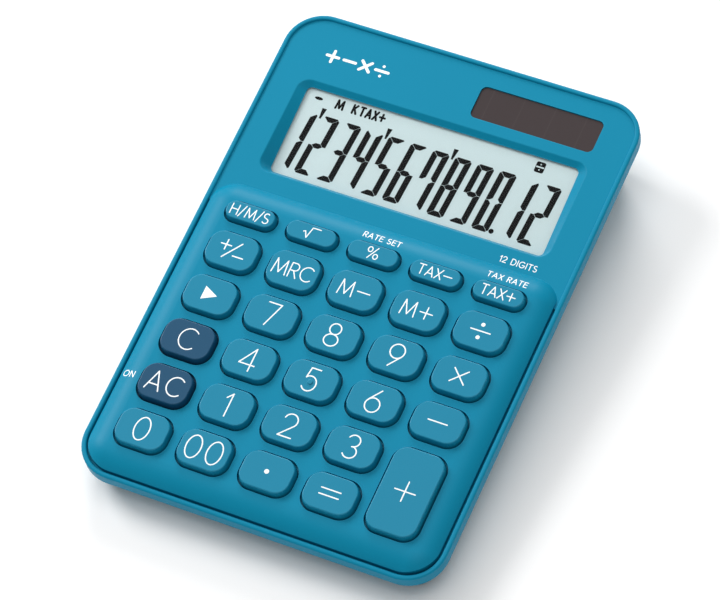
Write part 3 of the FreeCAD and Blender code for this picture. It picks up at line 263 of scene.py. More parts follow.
# The paler edge colour mixed in here is a painted highlight; the lower edge roughness is the
# wear.
edge_wear_and_highlight.links.new(mix_node(edge_wear_and_highlight, "RGBA", amount.outputs[0], enter.outputs["Colour"],
                             enter.outputs["Worn and Highlight Colour"]), leave.inputs["Colour"])
edge_wear_and_highlight.links.new(mix_node(edge_wear_and_highlight, "FLOAT", amount.outputs[0],
                             enter.outputs["Roughness"], enter.outputs["Worn Roughness"]),
                    leave.inputs["Roughness"])
print("edge_wear_and_highlight has", len(edge_wear_and_highlight.nodes), "nodes")

# %% [markdown]
# ## The plastics
# The case, the two colours of key, the rubber of the feet and the mat are all moulded, so
# one function makes them from the two groups above: grain first, then wear and a painted edge
# highlight on top of it.
# Only the numbers differ. The keys have a finer grain than the case, and the rubber has the
# coarsest grain and is the dullest. The ink is matt and its edges don't wear.

# %% Make the moulded finishes
materials = {}


def moulded(name, colour, worn_highlight, roughness=0.42, grain_rate=3500.0, grain_depth=0.00001,
            wear=0.35, shade_spread=0.05, **constants):
    material, tree, shader = new_material(name, **constants)
    texture = put_group(tree, mould_grain, {
        "Colour": colour, "Grain per Metre": grain_rate, "Roughness": roughness,
        "Roughness Spread": 0.12, "Shade Spread": shade_spread})
    edges = put_group(tree, edge_wear_and_highlight, {
        "Worn and Highlight Colour": worn_highlight, "Amount": wear, "Worn Roughness": roughness * 0.7})
    for socket in ("Colour", "Roughness"):
        tree.links.new(texture.outputs[socket], edges.inputs[socket])
    tree.links.new(edges.outputs["Colour"], shader.inputs["Base Color"])
    tree.links.new(edges.outputs["Roughness"], shader.inputs["Roughness"])
    bump_from(tree, shader, texture.outputs["Height"], grain_depth)
    materials[name] = material
    return material


# The second colour of each plastic is its paler edge colour: a painted highlight along the
# edges.
moulded("case_blue", srgb(0, 130, 163), srgb(70, 180, 215), Specular_IOR_Level=0.13)
# The lower shell and battery door are a darker copy of the case blue: painted shade for the wall
# under the rim.
moulded("case_lower", srgb(0, 108, 132), srgb(60, 165, 200), grain_rate=2600.0,
        grain_depth=0.000015, Specular_IOR_Level=0.08)
moulded("key_blue", srgb(14, 128, 160), srgb(110, 200, 225), roughness=0.36,
        grain_rate=5200.0, grain_depth=0.000006, Specular_IOR_Level=0.25)
moulded("key_navy", srgb(20, 74, 106), srgb(80, 140, 180), roughness=0.36,
        grain_rate=5200.0, grain_depth=0.000006, Specular_IOR_Level=0.25)
moulded("white_ink", srgb(246, 250, 250), srgb(255, 255, 255), roughness=0.5,
        grain_rate=6000.0, grain_depth=0.000002, wear=0.0, shade_spread=0.02)
moulded("black_rubber", srgb(34, 34, 36), srgb(50, 50, 52), roughness=0.78,
        grain_rate=1800.0, grain_depth=0.00003, wear=0.3)
moulded("mat_rubber", srgb(196, 200, 202), srgb(214, 216, 218), roughness=0.6,
        grain_rate=1500.0, grain_depth=0.00001, wear=0.2)
moulded("black_resin", srgb(18, 18, 20), srgb(40, 40, 42), roughness=0.3,
        grain_rate=500.0, grain_depth=0.00005, wear=0.2)
moulded("wire_red", srgb(190, 22, 24), srgb(214, 60, 56), roughness=0.4,
        grain_rate=900.0, grain_depth=0.00001)
moulded("wire_black", srgb(20, 20, 22), srgb(44, 44, 46), roughness=0.4,
        grain_rate=900.0, grain_depth=0.00001)
print(sorted(materials))

# %% [markdown]
# ## Metal, film and glass
# The screws, the contacts and the button cell are plated steel. Rolled metal shows fine
# lines in one direction, which an even grain can't give, so a second group stretches its
# noise along one axis and puts out a roughness and a height.

# %% The rolled metal group
rolled_lines, enter, leave = new_group("rolled_lines", [
    ("Stretch", "Vector", (300.0, 6000.0, 6000.0)), ("Roughness", "Float", 0.3),
    ("Roughness Spread", "Float", 0.2)], [("Roughness", "Float"), ("Height", "Float")])
place = add_node(rolled_lines, "ShaderNodeTexCoord")
stretched = add_node(rolled_lines, "ShaderNodeVectorMath", {"operation": "MULTIPLY"})
rolled_lines.links.new(place.outputs["Object"], stretched.inputs[0])
rolled_lines.links.new(enter.outputs["Stretch"], stretched.inputs[1])
lines = add_node(rolled_lines, "ShaderNodeTexNoise", inputs={"Scale": 1.0, "Detail": 3.0})
rolled_lines.links.new(stretched.outputs[0], lines.inputs["Vector"])
rolled_lines.links.new(spread_about(rolled_lines, lines.outputs["Fac"],
                                    enter.outputs["Roughness Spread"],
                                    enter.outputs["Roughness"]), leave.inputs["Roughness"])
rolled_lines.links.new(lines.outputs["Fac"], leave.inputs["Height"])


def plated(name, colour, roughness, stretch):
    material, tree, shader = new_material(name, Metallic=1.0)
    marks = put_group(tree, rolled_lines, {"Roughness": roughness, "Stretch": stretch})
    # The near white colour along the edges is partly worn plating and partly a painted
    # highlight.
    edges = put_group(tree, edge_wear_and_highlight, {
        "Colour": colour, "Worn and Highlight Colour": srgb(244, 242, 236), "Amount": 0.6,
        "Width": 0.0002, "Worn Roughness": roughness * 0.6})
    tree.links.new(marks.outputs["Roughness"], edges.inputs["Roughness"])
    tree.links.new(edges.outputs["Colour"], shader.inputs["Base Color"])
    tree.links.new(edges.outputs["Roughness"], shader.inputs["Roughness"])
    bump_from(tree, shader, marks.outputs["Height"], 0.000002)
    materials[name] = material


plated("zinc_steel", srgb(196, 196, 190), 0.32, (1500.0, 1500.0, 6000.0))
plated("nickel_spring", srgb(214, 206, 184), 0.26, (400.0, 6000.0, 6000.0))
plated("cell_steel", srgb(208, 210, 212), 0.2, (6000.0, 400.0, 6000.0))
plated("aluminium_can", srgb(186, 190, 196), 0.35, (4000.0, 4000.0, 300.0))

# %% [markdown]
# ## The circuit board
# A cheap single sided board is brown or green laminate under a green lacquer, and the copper
# tracks show through the lacquer as lighter lines. Modelling every track would be a model of
# its own, and it is hidden inside the case, so a brick pattern in the board's own
# coordinates draws runs of track, and a noise gives the lacquer its uneven depth.

# %% The lacquered board
board_material, tree, shader = new_material("lacquered_board", Coat_Weight=0.6,
                                            Coat_Roughness=0.12)
place = add_node(tree, "ShaderNodeTexCoord")
tracks = add_node(tree, "ShaderNodeTexBrick", {"offset": 0.37, "squash": 1.6,
                                               "squash_frequency": 3},
                  {"Scale": 90.0, "Mortar Size": 0.035, "Mortar Smooth": 0.15,
                   "Brick Width": 0.9, "Row Height": 0.22, "Color1": srgb(22, 92, 56),
                   "Color2": srgb(26, 102, 62), "Mortar": srgb(64, 146, 88)})
depth = add_node(tree, "ShaderNodeTexNoise", inputs={"Scale": 130.0, "Detail": 3.0})
tree.links.new(place.outputs["Object"], tracks.inputs["Vector"])
tree.links.new(place.outputs["Object"], depth.inputs["Vector"])
lacquer = add_node(tree, "ShaderNodeMapRange", inputs={"To Min": 0.85, "To Max": 1.15})
tree.links.new(depth.outputs["Fac"], lacquer.inputs["Value"])
tree.links.new(shaded(tree, tracks.outputs["Color"], lacquer.outputs["Result"]),
               shader.inputs["Base Color"])
satin = add_node(tree, "ShaderNodeMapRange", inputs={"To Min": 0.3, "To Max": 0.5})
tree.links.new(depth.outputs["Fac"], satin.inputs["Value"])
tree.links.new(satin.outputs["Result"], shader.inputs["Roughness"])
bump_from(tree, shader, tracks.outputs["Fac"], 0.00003)
materials["lacquered_board"] = board_material

# %% [markdown]
# ## The display
# A liquid crystal display is two sheets of glass with a reflector behind them. Seen from in
# front it is a pale grey green, a little cooler at the top, with the faint even grain of the
# reflector's foil. The characters are dark shapes on it. The lens in front is clear plastic,
# and only its gloss shows, so it is nearly transparent, and more so seen square on.

# %% The glass, the foil and the characters


def foil(name, colour, roughness, metallic, **constants):
    material, tree, shader = new_material(name, Metallic=metallic, **constants)
    texture = put_group(tree, mould_grain, {
        "Colour": colour, "Grain per Metre": 9000.0, "Roughness": roughness,
        "Roughness Spread": 0.08, "Shade Spread": 0.03, "Drift per Metre": 18.0})
    tree.links.new(texture.outputs["Colour"], shader.inputs["Base Color"])
    tree.links.new(texture.outputs["Roughness"], shader.inputs["Roughness"])
    bump_from(tree, shader, texture.outputs["Height"], 0.000002)
    materials[name] = material


foil("display_glass", srgb(205, 224, 226), 0.45, 0.0, Specular_IOR_Level=0.2)
foil("reflector_foil", srgb(200, 206, 208), 0.3, 0.9)
foil("display_ink", srgb(5, 7, 9), 0.6, 0.0, Specular_IOR_Level=0.06)
foil("flexible_film", srgb(198, 134, 44), 0.35, 0.0)

lens_material, tree, shader = new_material("clear_lens", Roughness=0.06, IOR=1.49)
shader.inputs["Base Color"].default_value = (1, 1, 1, 1)
gloss = add_node(tree, "ShaderNodeFresnel", inputs={"IOR": 1.14})
smudges = add_node(tree, "ShaderNodeTexNoise", inputs={"Scale": 60.0, "Detail": 5.0})
place = add_node(tree, "ShaderNodeTexCoord")
tree.links.new(place.outputs["Object"], smudges.inputs["Vector"])
polish = add_node(tree, "ShaderNodeMapRange", inputs={"To Min": 0.03, "To Max": 0.12})
tree.links.new(smudges.outputs["Fac"], polish.inputs["Value"])
tree.links.new(polish.outputs["Result"], shader.inputs["Roughness"])
tree.links.new(gloss.outputs["Fac"], shader.inputs["Alpha"])
materials["clear_lens"] = lens_material

# %% [markdown]
# ## The solar cell behind its window
# The window is tinted plastic and the cell behind it is a brown black film on glass, cut
# into narrow strips by fine laser lines. From in front they look like one dark pane with
# hardly visible lines, so the pane gets both: the tint, and the strips as a wave pattern.

# %% The solar pane
STRIPS_PER_METRE = 110.0


def solar_pane(name, colour, line_colour, roughness, line_strength):
    material, tree, shader = new_material(name, Specular_IOR_Level=0.3)
    place = add_node(tree, "ShaderNodeTexCoord")
    apart = add_node(tree, "ShaderNodeSeparateXYZ")
    tree.links.new(place.outputs["Object"], apart.inputs[0])
    count = add_node(tree, "ShaderNodeMath", {"operation": "MULTIPLY"}, {1: STRIPS_PER_METRE})
    tree.links.new(apart.outputs["X"], count.inputs[0])
    saw = add_node(tree, "ShaderNodeMath", {"operation": "FRACT"})
    tree.links.new(count.outputs[0], saw.inputs[0])
    line = add_node(tree, "ShaderNodeMath", {"operation": "LESS_THAN"}, {1: 0.035})
    tree.links.new(saw.outputs[0], line.inputs[0])
    faint = add_node(tree, "ShaderNodeMath", {"operation": "MULTIPLY"}, {1: line_strength})
    tree.links.new(line.outputs[0], faint.inputs[0])
    texture = put_group(tree, mould_grain, {
        "Colour": colour, "Grain per Metre": 2500.0, "Roughness": roughness,
        "Roughness Spread": 0.1, "Shade Spread": 0.08})
    pane = mix_node(tree, "RGBA", faint.outputs[0], texture.outputs["Colour"], line_colour)
    tree.links.new(pane, shader.inputs["Base Color"])
    tree.links.new(texture.outputs["Roughness"], shader.inputs["Roughness"])
    bump_from(tree, shader, texture.outputs["Height"], 0.000002)
    materials[name] = material


solar_pane("solar_window", srgb(58, 49, 50), srgb(92, 84, 84), 0.3, 0.12)
solar_pane("solar_film", srgb(46, 34, 36), srgb(110, 100, 96), 0.2, 1.0)

# %% Dress every part of the frame
FINISH = {
    "top_case": "case_blue", "bottom_case": "case_lower", "battery_door": "case_lower",
    "key_clear": "key_navy", "key_all_clear": "key_navy", "key_mat": "mat_rubber",
    "main_board": "lacquered_board", "chip_cap": "black_resin",
    "chip_resistors": "black_resin", "filter_capacitor": "aluminium_can",
    "limiting_diode": "wire_red", "lcd_lens": "clear_lens", "lcd_glass": "display_glass",
    "lcd_reflector": "reflector_foil", "lcd_frame": "white_ink",
    "lcd_screws": "zinc_steel", "lcd_ribbon": "flexible_film",
    "solar_cover": "solar_window", "solar_cell": "solar_film",
    "rubber_feet": "black_rubber", "case_screws": "zinc_steel",
    "board_screws": "zinc_steel", "battery_door_screw": "zinc_steel",
    "button_cell": "cell_steel", "battery_contact_negative": "nickel_spring",
    "battery_contact_positive": "nickel_spring", "solar_wire_red": "wire_red",
    "solar_wire_black": "wire_black", "battery_wire_red": "wire_red",
    "battery_wire_black": "wire_black",
}


def dress(piece, finish):
    piece.data.materials.clear()
    piece.data.materials.append(materials[finish])


for name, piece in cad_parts.items():
    dress(piece, FINISH.get(name, "key_blue"))
print(len(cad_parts), "parts dressed in", len(materials), "finishes")

# %% [markdown]
# ## Printed characters as thin solid shapes
# The legends are white ink, a few hundredths of a millimetre thick, in a thin geometric hand
# with round ends. A text object would give somebody's typeface, and its strokes are too
# heavy, so we draw each character as a pen would: straight runs and arcs down the middle of
# its strokes, on a cap height of one. The pen's width is added afterwards.

# %% The pen's alphabet
ARC_STEPS = 18


def arc(x, y, across, up, first, last):
    """Points along part of an ellipse, from one angle to another, in degrees."""
    steps = max(4, round(ARC_STEPS * abs(last - first) / 180))
    angles = [math.radians(first + (last - first) * i / steps) for i in range(steps + 1)]
    return [(x + across * math.cos(a), y + up * math.sin(a)) for a in angles]


SIX = [arc(0.3, 0.31, 0.3, 0.31, 90, 450), [(0.45, 1.0), (0.06, 0.5)]]
LETTERS = {
    "0": [arc(0.31, 0.5, 0.31, 0.5, 90, 450)],
    "1": [[(0.04, 0.78), (0.24, 1.0), (0.24, 0.0)]],
    "2": [arc(0.29, 0.71, 0.28, 0.29, 165, -38) + [(0.01, 0.0), (0.58, 0.0)]],
    "3": [arc(0.27, 0.75, 0.25, 0.25, 155, -90),
          arc(0.27, 0.26, 0.28, 0.26, 80, -150)],
    "4": [[(0.66, 0.27), (0.0, 0.27), (0.49, 1.0), (0.49, 0.0)]],
    "5": [[(0.52, 1.0), (0.13, 1.0), (0.07, 0.56)],
          arc(0.27, 0.33, 0.29, 0.33, 132, -145)],
    "6": SIX,
    "7": [[(0.0, 1.0), (0.55, 1.0), (0.18, 0.0)]],
    "8": [arc(0.29, 0.76, 0.235, 0.24, 90, 450), arc(0.29, 0.26, 0.29, 0.26, 90, 450)],
    "9": [[(0.6 - x, 1.0 - y) for x, y in stroke] for stroke in SIX],
    "A": [[(0.0, 0.0), (0.36, 1.0), (0.72, 0.0)], [(0.11, 0.3), (0.61, 0.3)]],
    "C": [arc(0.45, 0.5, 0.45, 0.5, 48, 312)],
    "D": [arc(0.26, 0.5, 0.42, 0.5, 90, -90) + [(0.0, 0.0), (0.0, 1.0), (0.26, 1.0)]],
    "E": [[(0.5, 1.0), (0.0, 1.0), (0.0, 0.0), (0.5, 0.0)], [(0.0, 0.52), (0.45, 0.52)]],
    "G": [arc(0.45, 0.5, 0.45, 0.5, 48, 330) + [(0.86, 0.42), (0.5, 0.42)]],
    "H": [[(0.0, 0.0), (0.0, 1.0)], [(0.66, 0.0), (0.66, 1.0)], [(0.0, 0.52), (0.66, 0.52)]],
    "I": [[(0.0, 0.0), (0.0, 1.0)]],
    "K": [[(0.0, 0.0), (0.0, 1.0)], [(0.52, 1.0), (0.0, 0.42)], [(0.16, 0.58), (0.56, 0.0)]],
    "M": [[(0.0, 0.0), (0.1, 1.0), (0.45, 0.08), (0.8, 1.0), (0.9, 0.0)]],
    "N": [[(0.0, 0.0), (0.0, 1.0), (0.66, 0.0), (0.66, 1.0)]],
    "O": [arc(0.47, 0.5, 0.47, 0.5, 90, 450)],
    "R": [[(0.0, 0.0), (0.0, 1.0), (0.28, 1.0)] + arc(0.28, 0.74, 0.25, 0.26, 90, -90)
          + [(0.0, 0.48)], [(0.26, 0.48), (0.54, 0.0)]],
    "S": [arc(0.27, 0.755, 0.24, 0.245, 50, 225)
          + arc(0.27, 0.255, 0.26, 0.255, 52, -145)],
    "T": [[(0.0, 1.0), (0.6, 1.0)], [(0.3, 1.0), (0.3, 0.0)]],
    "X": [[(0.0, 0.0), (0.6, 1.0)], [(0.0, 1.0), (0.6, 0.0)]],
    "/": [[(0.0, -0.08), (0.42, 1.08)]],
    "+": [[(0.0, 0.5), (0.8, 0.5)], [(0.4, 0.1), (0.4, 0.9)]],
    "-": [[(0.0, 0.5), (0.8, 0.5)]],
    "*": [[(0.0, 0.17), (0.66, 0.83)], [(0.0, 0.83), (0.66, 0.17)]],
    ":": [[(0.0, 0.5), (0.86, 0.5)], [(0.43, 0.86), (0.43, 0.861)],
          [(0.43, 0.14), (0.43, 0.141)]],
    "=": [[(0.0, 0.64), (0.86, 0.64)], [(0.0, 0.36), (0.86, 0.36)]],
    ".": [[(0.0, 0.5), (0.0, 0.501)]],
    "%": [arc(0.2, 0.76, 0.18, 0.22, 90, 450), arc(0.8, 0.24, 0.18, 0.22, 90, 450),
          [(0.2, -0.02), (0.8, 1.02)]],
    "r": [[(0.0, 0.48), (0.16, 0.56), (0.42, 0.0), (0.66, 1.0), (1.36, 1.0)]],
    " ": [],
}
print("the pen knows", len(LETTERS), "characters")

# %% [markdown]
# ## From pen strokes to closed shapes
# A pen stroke becomes a row of quads, with a disc at each end and at each sharp corner.
# Those overlap, and overlapping faces show as dark specks, so all the outlines of a word go
# through Blender's constrained triangulation, which gives one flat sheet with no overlaps
# and tells us which triangles came from which outline. Then we lift that sheet into a slab.

# %% Outlines of a pen stroke
DISC_SIDES = 16
SHARP_TURN = math.radians(25)
CLOSE = 1e-4


def disc(centre, radius):
    steps = [2 * math.pi * i / DISC_SIDES for i in range(DISC_SIDES)]
    return [centre + Vector((math.cos(a), math.sin(a))) * radius for a in steps]


def stroke_outlines(stroke, pen):
    """Quads along a stroke, discs at its ends and at its sharp corners."""
    points = [Vector(stroke[0])]
    for point in stroke[1:]:
        if (Vector(point) - points[-1]).length > CLOSE:
            points.append(Vector(point))
    runs = [(b - a).normalized() for a, b in zip(points, points[1:])]
    sides = []
    outlines = [disc(points[0], pen / 2), disc(points[-1], pen / 2)]
    for index, point in enumerate(points):
        before = runs[max(index - 1, 0)]
        after = runs[min(index, len(runs) - 1)]
        smooth = before.angle(after) < SHARP_TURN
        if not smooth:
            outlines.append(disc(point, pen / 2))
        mean = (before + after).normalized() if smooth else None
        reach = pen / 2 / (math.cos(before.angle(after) / 2) if smooth else 1)
        sides.append([(mean or run).orthogonal() * reach for run in (before, after)])
    for index, (start, end) in enumerate(zip(points, points[1:])):
        out_start = sides[index][1]
        out_end = sides[index + 1][0]
        outlines.append([start + out_start, end + out_end, end - out_end, start - out_start])
    return outlines


# %% One flat sheet from many outlines


def runs_left(outline):
    """True if an outline goes round anticlockwise, which the triangulation expects."""
    pairs = zip(outline, outline[1:] + outline[:1])
    return sum(a.x * b.y - b.x * a.y for a, b in pairs) > 0


def flat_union(outlines):
    """The points and faces of the union of some flat outlines, in millimetres."""
    points = []
    faces = []
    for outline in outlines:
        faces.append(list(range(len(points), len(points) + len(outline))))
        points += outline if runs_left(outline) else outline[::-1]
    result = delaunay_2d_cdt(points, [], faces, 1, CLOSE)
    inside = {tuple(sorted(face)): face for face, sources in zip(result[2], result[5])
              if sources}
    return result[0], list(inside.values())


def slab(name, outlines, low, high, finish, place, body):
    """A closed slab with the shape of some outlines, between two heights above a surface."""
    points, faces = flat_union(outlines)
    mesh = bmesh.new()
    used = sorted({index for face in faces for index in face})
    floor = {index: mesh.verts.new((points[index].x * MM, points[index].y * MM, low * MM))
             for index in used}
    for face in faces:
        mesh.faces.new([floor[index] for index in face])
    bmesh.ops.recalc_face_normals(mesh, faces=mesh.faces)
    lifted = bmesh.ops.extrude_face_region(mesh, geom=mesh.faces[:])
    top = [item for item in lifted["geom"] if isinstance(item, bmesh.types.BMVert)]
    bmesh.ops.translate(mesh, verts=top, vec=(0, 0, (high - low) * MM))
    bmesh.ops.recalc_face_normals(mesh, faces=mesh.faces)
    data = bpy.data.meshes.new(name)
    mesh.to_mesh(data)
    mesh.free()
    data.transform(place)
    piece = bpy.data.objects.new(name, data)
    bpy.context.scene.collection.objects.link(piece)
    data.materials.append(materials[finish])
    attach(piece, body)
    return piece


# %% Setting a word
INK_LOW = -0.02
INK_HIGH = 0.03


def word_outlines(text, cap, pen, middle=(0, 0), gap=0.3, narrow=1.0):
    """The outlines of a word of a given cap height, centred on a point, in millimetres."""
    pen_left = 0.0
    strokes = []
    for letter in text:
        shapes = LETTERS[letter]
        xs = [x for shape in shapes for x, y in shape] or [0.0, 0.25]
        for shape in shapes:
            strokes.append([((pen_left + (x - min(xs)) * narrow), y) for x, y in shape])
        pen_left += (max(xs) - min(xs)) * narrow + gap
    width = (pen_left - gap) * cap
    outlines = []
    for stroke in strokes:
        placed = [(x * cap - width / 2 + middle[0], (y - 0.5) * cap + middle[1])
                  for x, y in stroke]
        outlines += stroke_outlines(placed, pen)
    return outlines

# %% [markdown]
# ## Legends on the keys
# Each key carries one legend, printed in the middle of its top. They ride on the same body
# as their key, so they travel when it is pressed. The cap height is large, about two thirds
# of the key's length, and the pen is thin: that contrast is what gives this kind of
# calculator its light look.

# %% What each key says
PEN = 0.36
DIGIT_CAP = 6.75
LEGENDS = {
    "key_0": ("0", DIGIT_CAP, PEN), "key_00": ("00", DIGIT_CAP, PEN),
    "key_1": ("1", DIGIT_CAP, PEN), "key_2": ("2", DIGIT_CAP, PEN),
    "key_3": ("3", DIGIT_CAP, PEN), "key_4": ("4", DIGIT_CAP, PEN),
    "key_5": ("5", DIGIT_CAP, PEN), "key_6": ("6", DIGIT_CAP, PEN),
    "key_7": ("7", DIGIT_CAP, PEN), "key_8": ("8", DIGIT_CAP, PEN),
    "key_9": ("9", DIGIT_CAP, PEN), "key_clear": ("C", 6.2, 0.33),
    "key_all_clear": ("AC", 5.6, 0.36), "key_memory_recall": ("MRC", 4.3, 0.32),
    "key_memory_minus": ("M-", 4.4, 0.33), "key_memory_plus": ("M+", 4.4, 0.33),
    "key_time": ("H/M/S", 3.0, 0.3), "key_percent": ("%", 3.4, 0.3),
    "key_square_root": ("r", 3.3, 0.3), "key_tax_minus": ("TAX-", 2.9, 0.3),
    "key_tax_plus": ("TAX+", 2.9, 0.3), "key_divide": (":", 6.4, 0.36),
    "key_multiply": ("*", 6.1, 0.36), "key_subtract": ("-", 6.8, 0.36),
    "key_add": ("+", 7.2, 0.36), "key_equals": ("=", 6.4, 0.36),
    "key_point": (".", 6.0, 1.35),
}
WIDE_DOT = 1.15


def key_body(name):
    """The body that a key rides on."""
    return "button_" + name[4:]


def print_on_key(name, outlines):
    return slab("legend_" + name[4:], outlines, INK_LOW, INK_HIGH, "white_ink",
                key_tops[name], key_body(name))


for name, (text, cap, pen) in LEGENDS.items():
    outlines = word_outlines(text, cap, pen, gap=0.2 if len(text) > 2 else 0.28)
    if name == "key_divide":
        dots = [disc(Vector((0, side * 1.95)), WIDE_DOT / 2) for side in (1, -1)]
        outlines += dots
    print_on_key(name, outlines)
sign_strokes = [[(-3.6, 1.2), (-0.6, 1.2)], [(-2.1, -0.3), (-2.1, 2.7)],
                [(-1.9, -2.65), (2.1, 2.65)], [(0.9, -1.5), (3.9, -1.5)]]
print_on_key("key_sign", [shape for stroke in sign_strokes
                          for shape in stroke_outlines(stroke, PEN)])
arrow = [Vector((-1.9, 2.05)), Vector((-1.9, -2.05)), Vector((2.2, 0.0))]
print_on_key("key_backspace", [arrow])
print(len(LEGENDS) + 2, "legends printed")

# %% [markdown]
# ## Prints on the case
# Three small prints stand on the curved surround and one on the panel, and a row of plain
# operator signs stands where a maker would put a mark. The surround is rounded, so a flat
# slab would sink into it or float over it. We drop each corner of the slab straight down
# onto the case with a ray, and keep its own thickness above the point that it hits.

# %% Lay a print on the curved case
case_surface = BVHTree.FromPolygons(
    [v.co.copy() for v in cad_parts["top_case"].data.vertices],
    [list(face.vertices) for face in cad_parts["top_case"].data.polygons])
DECK_UP = (deck.to_3x3() @ Vector((0, 0, 1))).normalized()
DROP_FROM = 10 * MM
LONGEST_EDGE = 0.35 * MM


def cut_finer(data):
    """Split the long edges of a print, so that it can follow a curved surface."""
    mesh = bmesh.new()
    mesh.from_mesh(data)
    bmesh.ops.triangulate(mesh, faces=mesh.faces)
    for _ in range(3):
        long_edges = [edge for edge in mesh.edges if edge.calc_length() > LONGEST_EDGE]
        bmesh.ops.subdivide_edges(mesh, edges=long_edges, cuts=1)
        bmesh.ops.triangulate(mesh, faces=mesh.faces)
    mesh.to_mesh(data)
    mesh.free()


def print_on_case(name, text, cap, pen, near, offset, narrow=1.0, gap=0.3):
    """A word near a key: offset is right and up the slope from the key's middle."""
    outlines = word_outlines(text, cap, pen, gap=gap, narrow=narrow)
    place = key_tops[near] @ Matrix.Translation(Vector((*offset, 0)) * MM)
    piece = slab(name, outlines, INK_LOW, INK_HIGH, "white_ink", place, "case")
    cut_finer(piece.data)
    level = DECK_UP.dot(place.translation)
    for vertex in piece.data.vertices:
        lift = DECK_UP.dot(vertex.co) - level
        hit = case_surface.ray_cast(vertex.co + DECK_UP * DROP_FROM, -DECK_UP)[0]
        vertex.co = hit + DECK_UP * lift
    piece.data.update()
    return piece


SMALL_PRINT = 1.75
THIN_PEN = 0.24
print_on_case("print_rate_set", "RATE SET", SMALL_PRINT, THIN_PEN, "key_percent",
              (0, 5.65), gap=0.28)
print_on_case("print_tax_rate", "TAX RATE", SMALL_PRINT, THIN_PEN, "key_tax_plus",
              (0, 5.65), gap=0.28)
print_on_case("print_on", "ON", SMALL_PRINT, THIN_PEN, "key_all_clear", (-11.4, 0.45))
print_on_case("print_digits", "12 DIGITS", SMALL_PRINT, THIN_PEN, "key_tax_plus",
              (0, 12.15), gap=0.3)
print_on_case("print_signs", "+-*:", 4.4, 0.85, "key_percent", (-29.9, 54.9), gap=0.36)
print("five prints on the case")

# %% [markdown]
# ## The display's characters
# Each digit of a liquid crystal display is seven bars with mitred ends, and a fine gap
# between them where the electrodes are parted. The glass lies under the lens, so we first
# put in the lens as a thin clear plate with room below it, then draw the bars on the glass.

# %% The clear lens
glass = top_frame("lcd_glass")
low_corner, high_corner = (Vector(corner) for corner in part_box("lcd_lens"))
LENS_WIDTH = (high_corner.x - low_corner.x) / MM
LENS_LENGTH = 31.6
LENS_THICK = 0.8
LENS_GAP = 0.15
LENS_CORNER = 1.5


def rounded_plate(width, length, corner):
    """The outline of a plate with rounded corners, in millimetres."""
    points = []
    for index, (side_x, side_y) in enumerate(((1, -1), (1, 1), (-1, 1), (-1, -1))):
        centre = Vector((side_x * (width / 2 - corner), side_y * (length / 2 - corner)))
        for step in range(7):
            angle = math.radians(90 * index - 90 + 15 * step)
            points.append(centre + Vector((math.cos(angle), math.sin(angle))) * corner)
    return points


lens = slab("clear_lens_plate", [rounded_plate(LENS_WIDTH, LENS_LENGTH, LENS_CORNER)],
            LENS_GAP, LENS_THICK, "clear_lens", glass, "case")
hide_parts("lcd_lens")
print("lens", round(LENS_WIDTH, 1), "mm wide")

# %% The seven bars of a digit
DIGIT_WIDTH = 4.9
DIGIT_HEIGHT = 18.3
STEM = 1.72
BAR = 1.5
PART = 0.07
CHAMFER = 0.7
LEAN = math.tan(math.radians(4.4))
CELL_PITCH = 6.6
FIRST_CELL = -40.25
DIGIT_FOOT = -11.4
SHAPES_OF = {"0": "abcdef", "1": "bc", "2": "abged", "3": "abgcd", "4": "fgbc",
             "5": "afgcd", "6": "afgedc", "7": "abcf", "8": "abcdefg", "9": "abcdfg"}


def bars():
    """The outline of each bar in its digit's box, by its usual letter."""
    wide, tall, half = DIGIT_WIDTH, DIGIT_HEIGHT, DIGIT_HEIGHT / 2
    meet = (CHAMFER - PART) / (STEM + BAR)
    top = [(CHAMFER, tall), (wide - CHAMFER, tall),
           (wide - PART - meet * STEM, tall - meet * BAR), (wide - STEM - PART, tall - BAR),
           (STEM + PART, tall - BAR), (PART + meet * STEM, tall - meet * BAR)]
    left = [(0, tall - CHAMFER), (meet * STEM, tall - PART - meet * BAR),
            (STEM, tall - BAR - PART), (STEM, half + BAR / 2 + PART),
            (STEM / 2, half + PART), (0, half + PART)]
    middle = [(STEM / 2 + PART, half), (STEM + PART, half + BAR / 2),
              (wide - STEM - PART, half + BAR / 2), (wide - STEM / 2 - PART, half),
              (wide - STEM - PART, half - BAR / 2), (STEM + PART, half - BAR / 2)]

    def flip_x(shape):
        return [(wide - x, y) for x, y in shape]

    def flip_y(shape):
        return [(x, tall - y) for x, y in shape]

    return {"a": top, "f": left, "g": middle, "b": flip_x(left), "e": flip_y(left),
            "c": flip_x(flip_y(left)), "d": flip_y(top)}


BARS = bars()


def leaned(shape, left):
    """Move a shape into its cell and lean it as the display's digits lean."""
    return [Vector((left + x + (y - DIGIT_HEIGHT / 2) * LEAN, y + DIGIT_FOOT))
            for x, y in shape]


def lcd_piece(name, outlines, low=0.0, high=0.05, finish="display_ink"):
    return slab(name, outlines, low, high, finish, glass, "case")


READING = "123456789012"
for cell, digit in enumerate(READING):
    left = FIRST_CELL + cell * CELL_PITCH
    lcd_piece("lcd_digit_%02d" % (cell + 1),
              [leaned(BARS[letter], left) for letter in SHAPES_OF[digit]])
gaps = [FIRST_CELL + cell * CELL_PITCH - (CELL_PITCH - DIGIT_WIDTH) / 2 for cell in range(12)]
tick = [(-0.7, DIGIT_HEIGHT + 2.0), (0.65, DIGIT_HEIGHT + 2.0), (0.3, DIGIT_HEIGHT - 1.2),
        (-0.2, DIGIT_HEIGHT - 1.2)]
lcd_piece("lcd_separators", [leaned(tick, gaps[cell]) for cell in (1, 4, 7)])
point_middle = leaned([(0, 0.75)], gaps[10])[0]
lcd_piece("lcd_point", [disc(point_middle, 0.72)])
print(len(READING), "digits, three separators and the point")

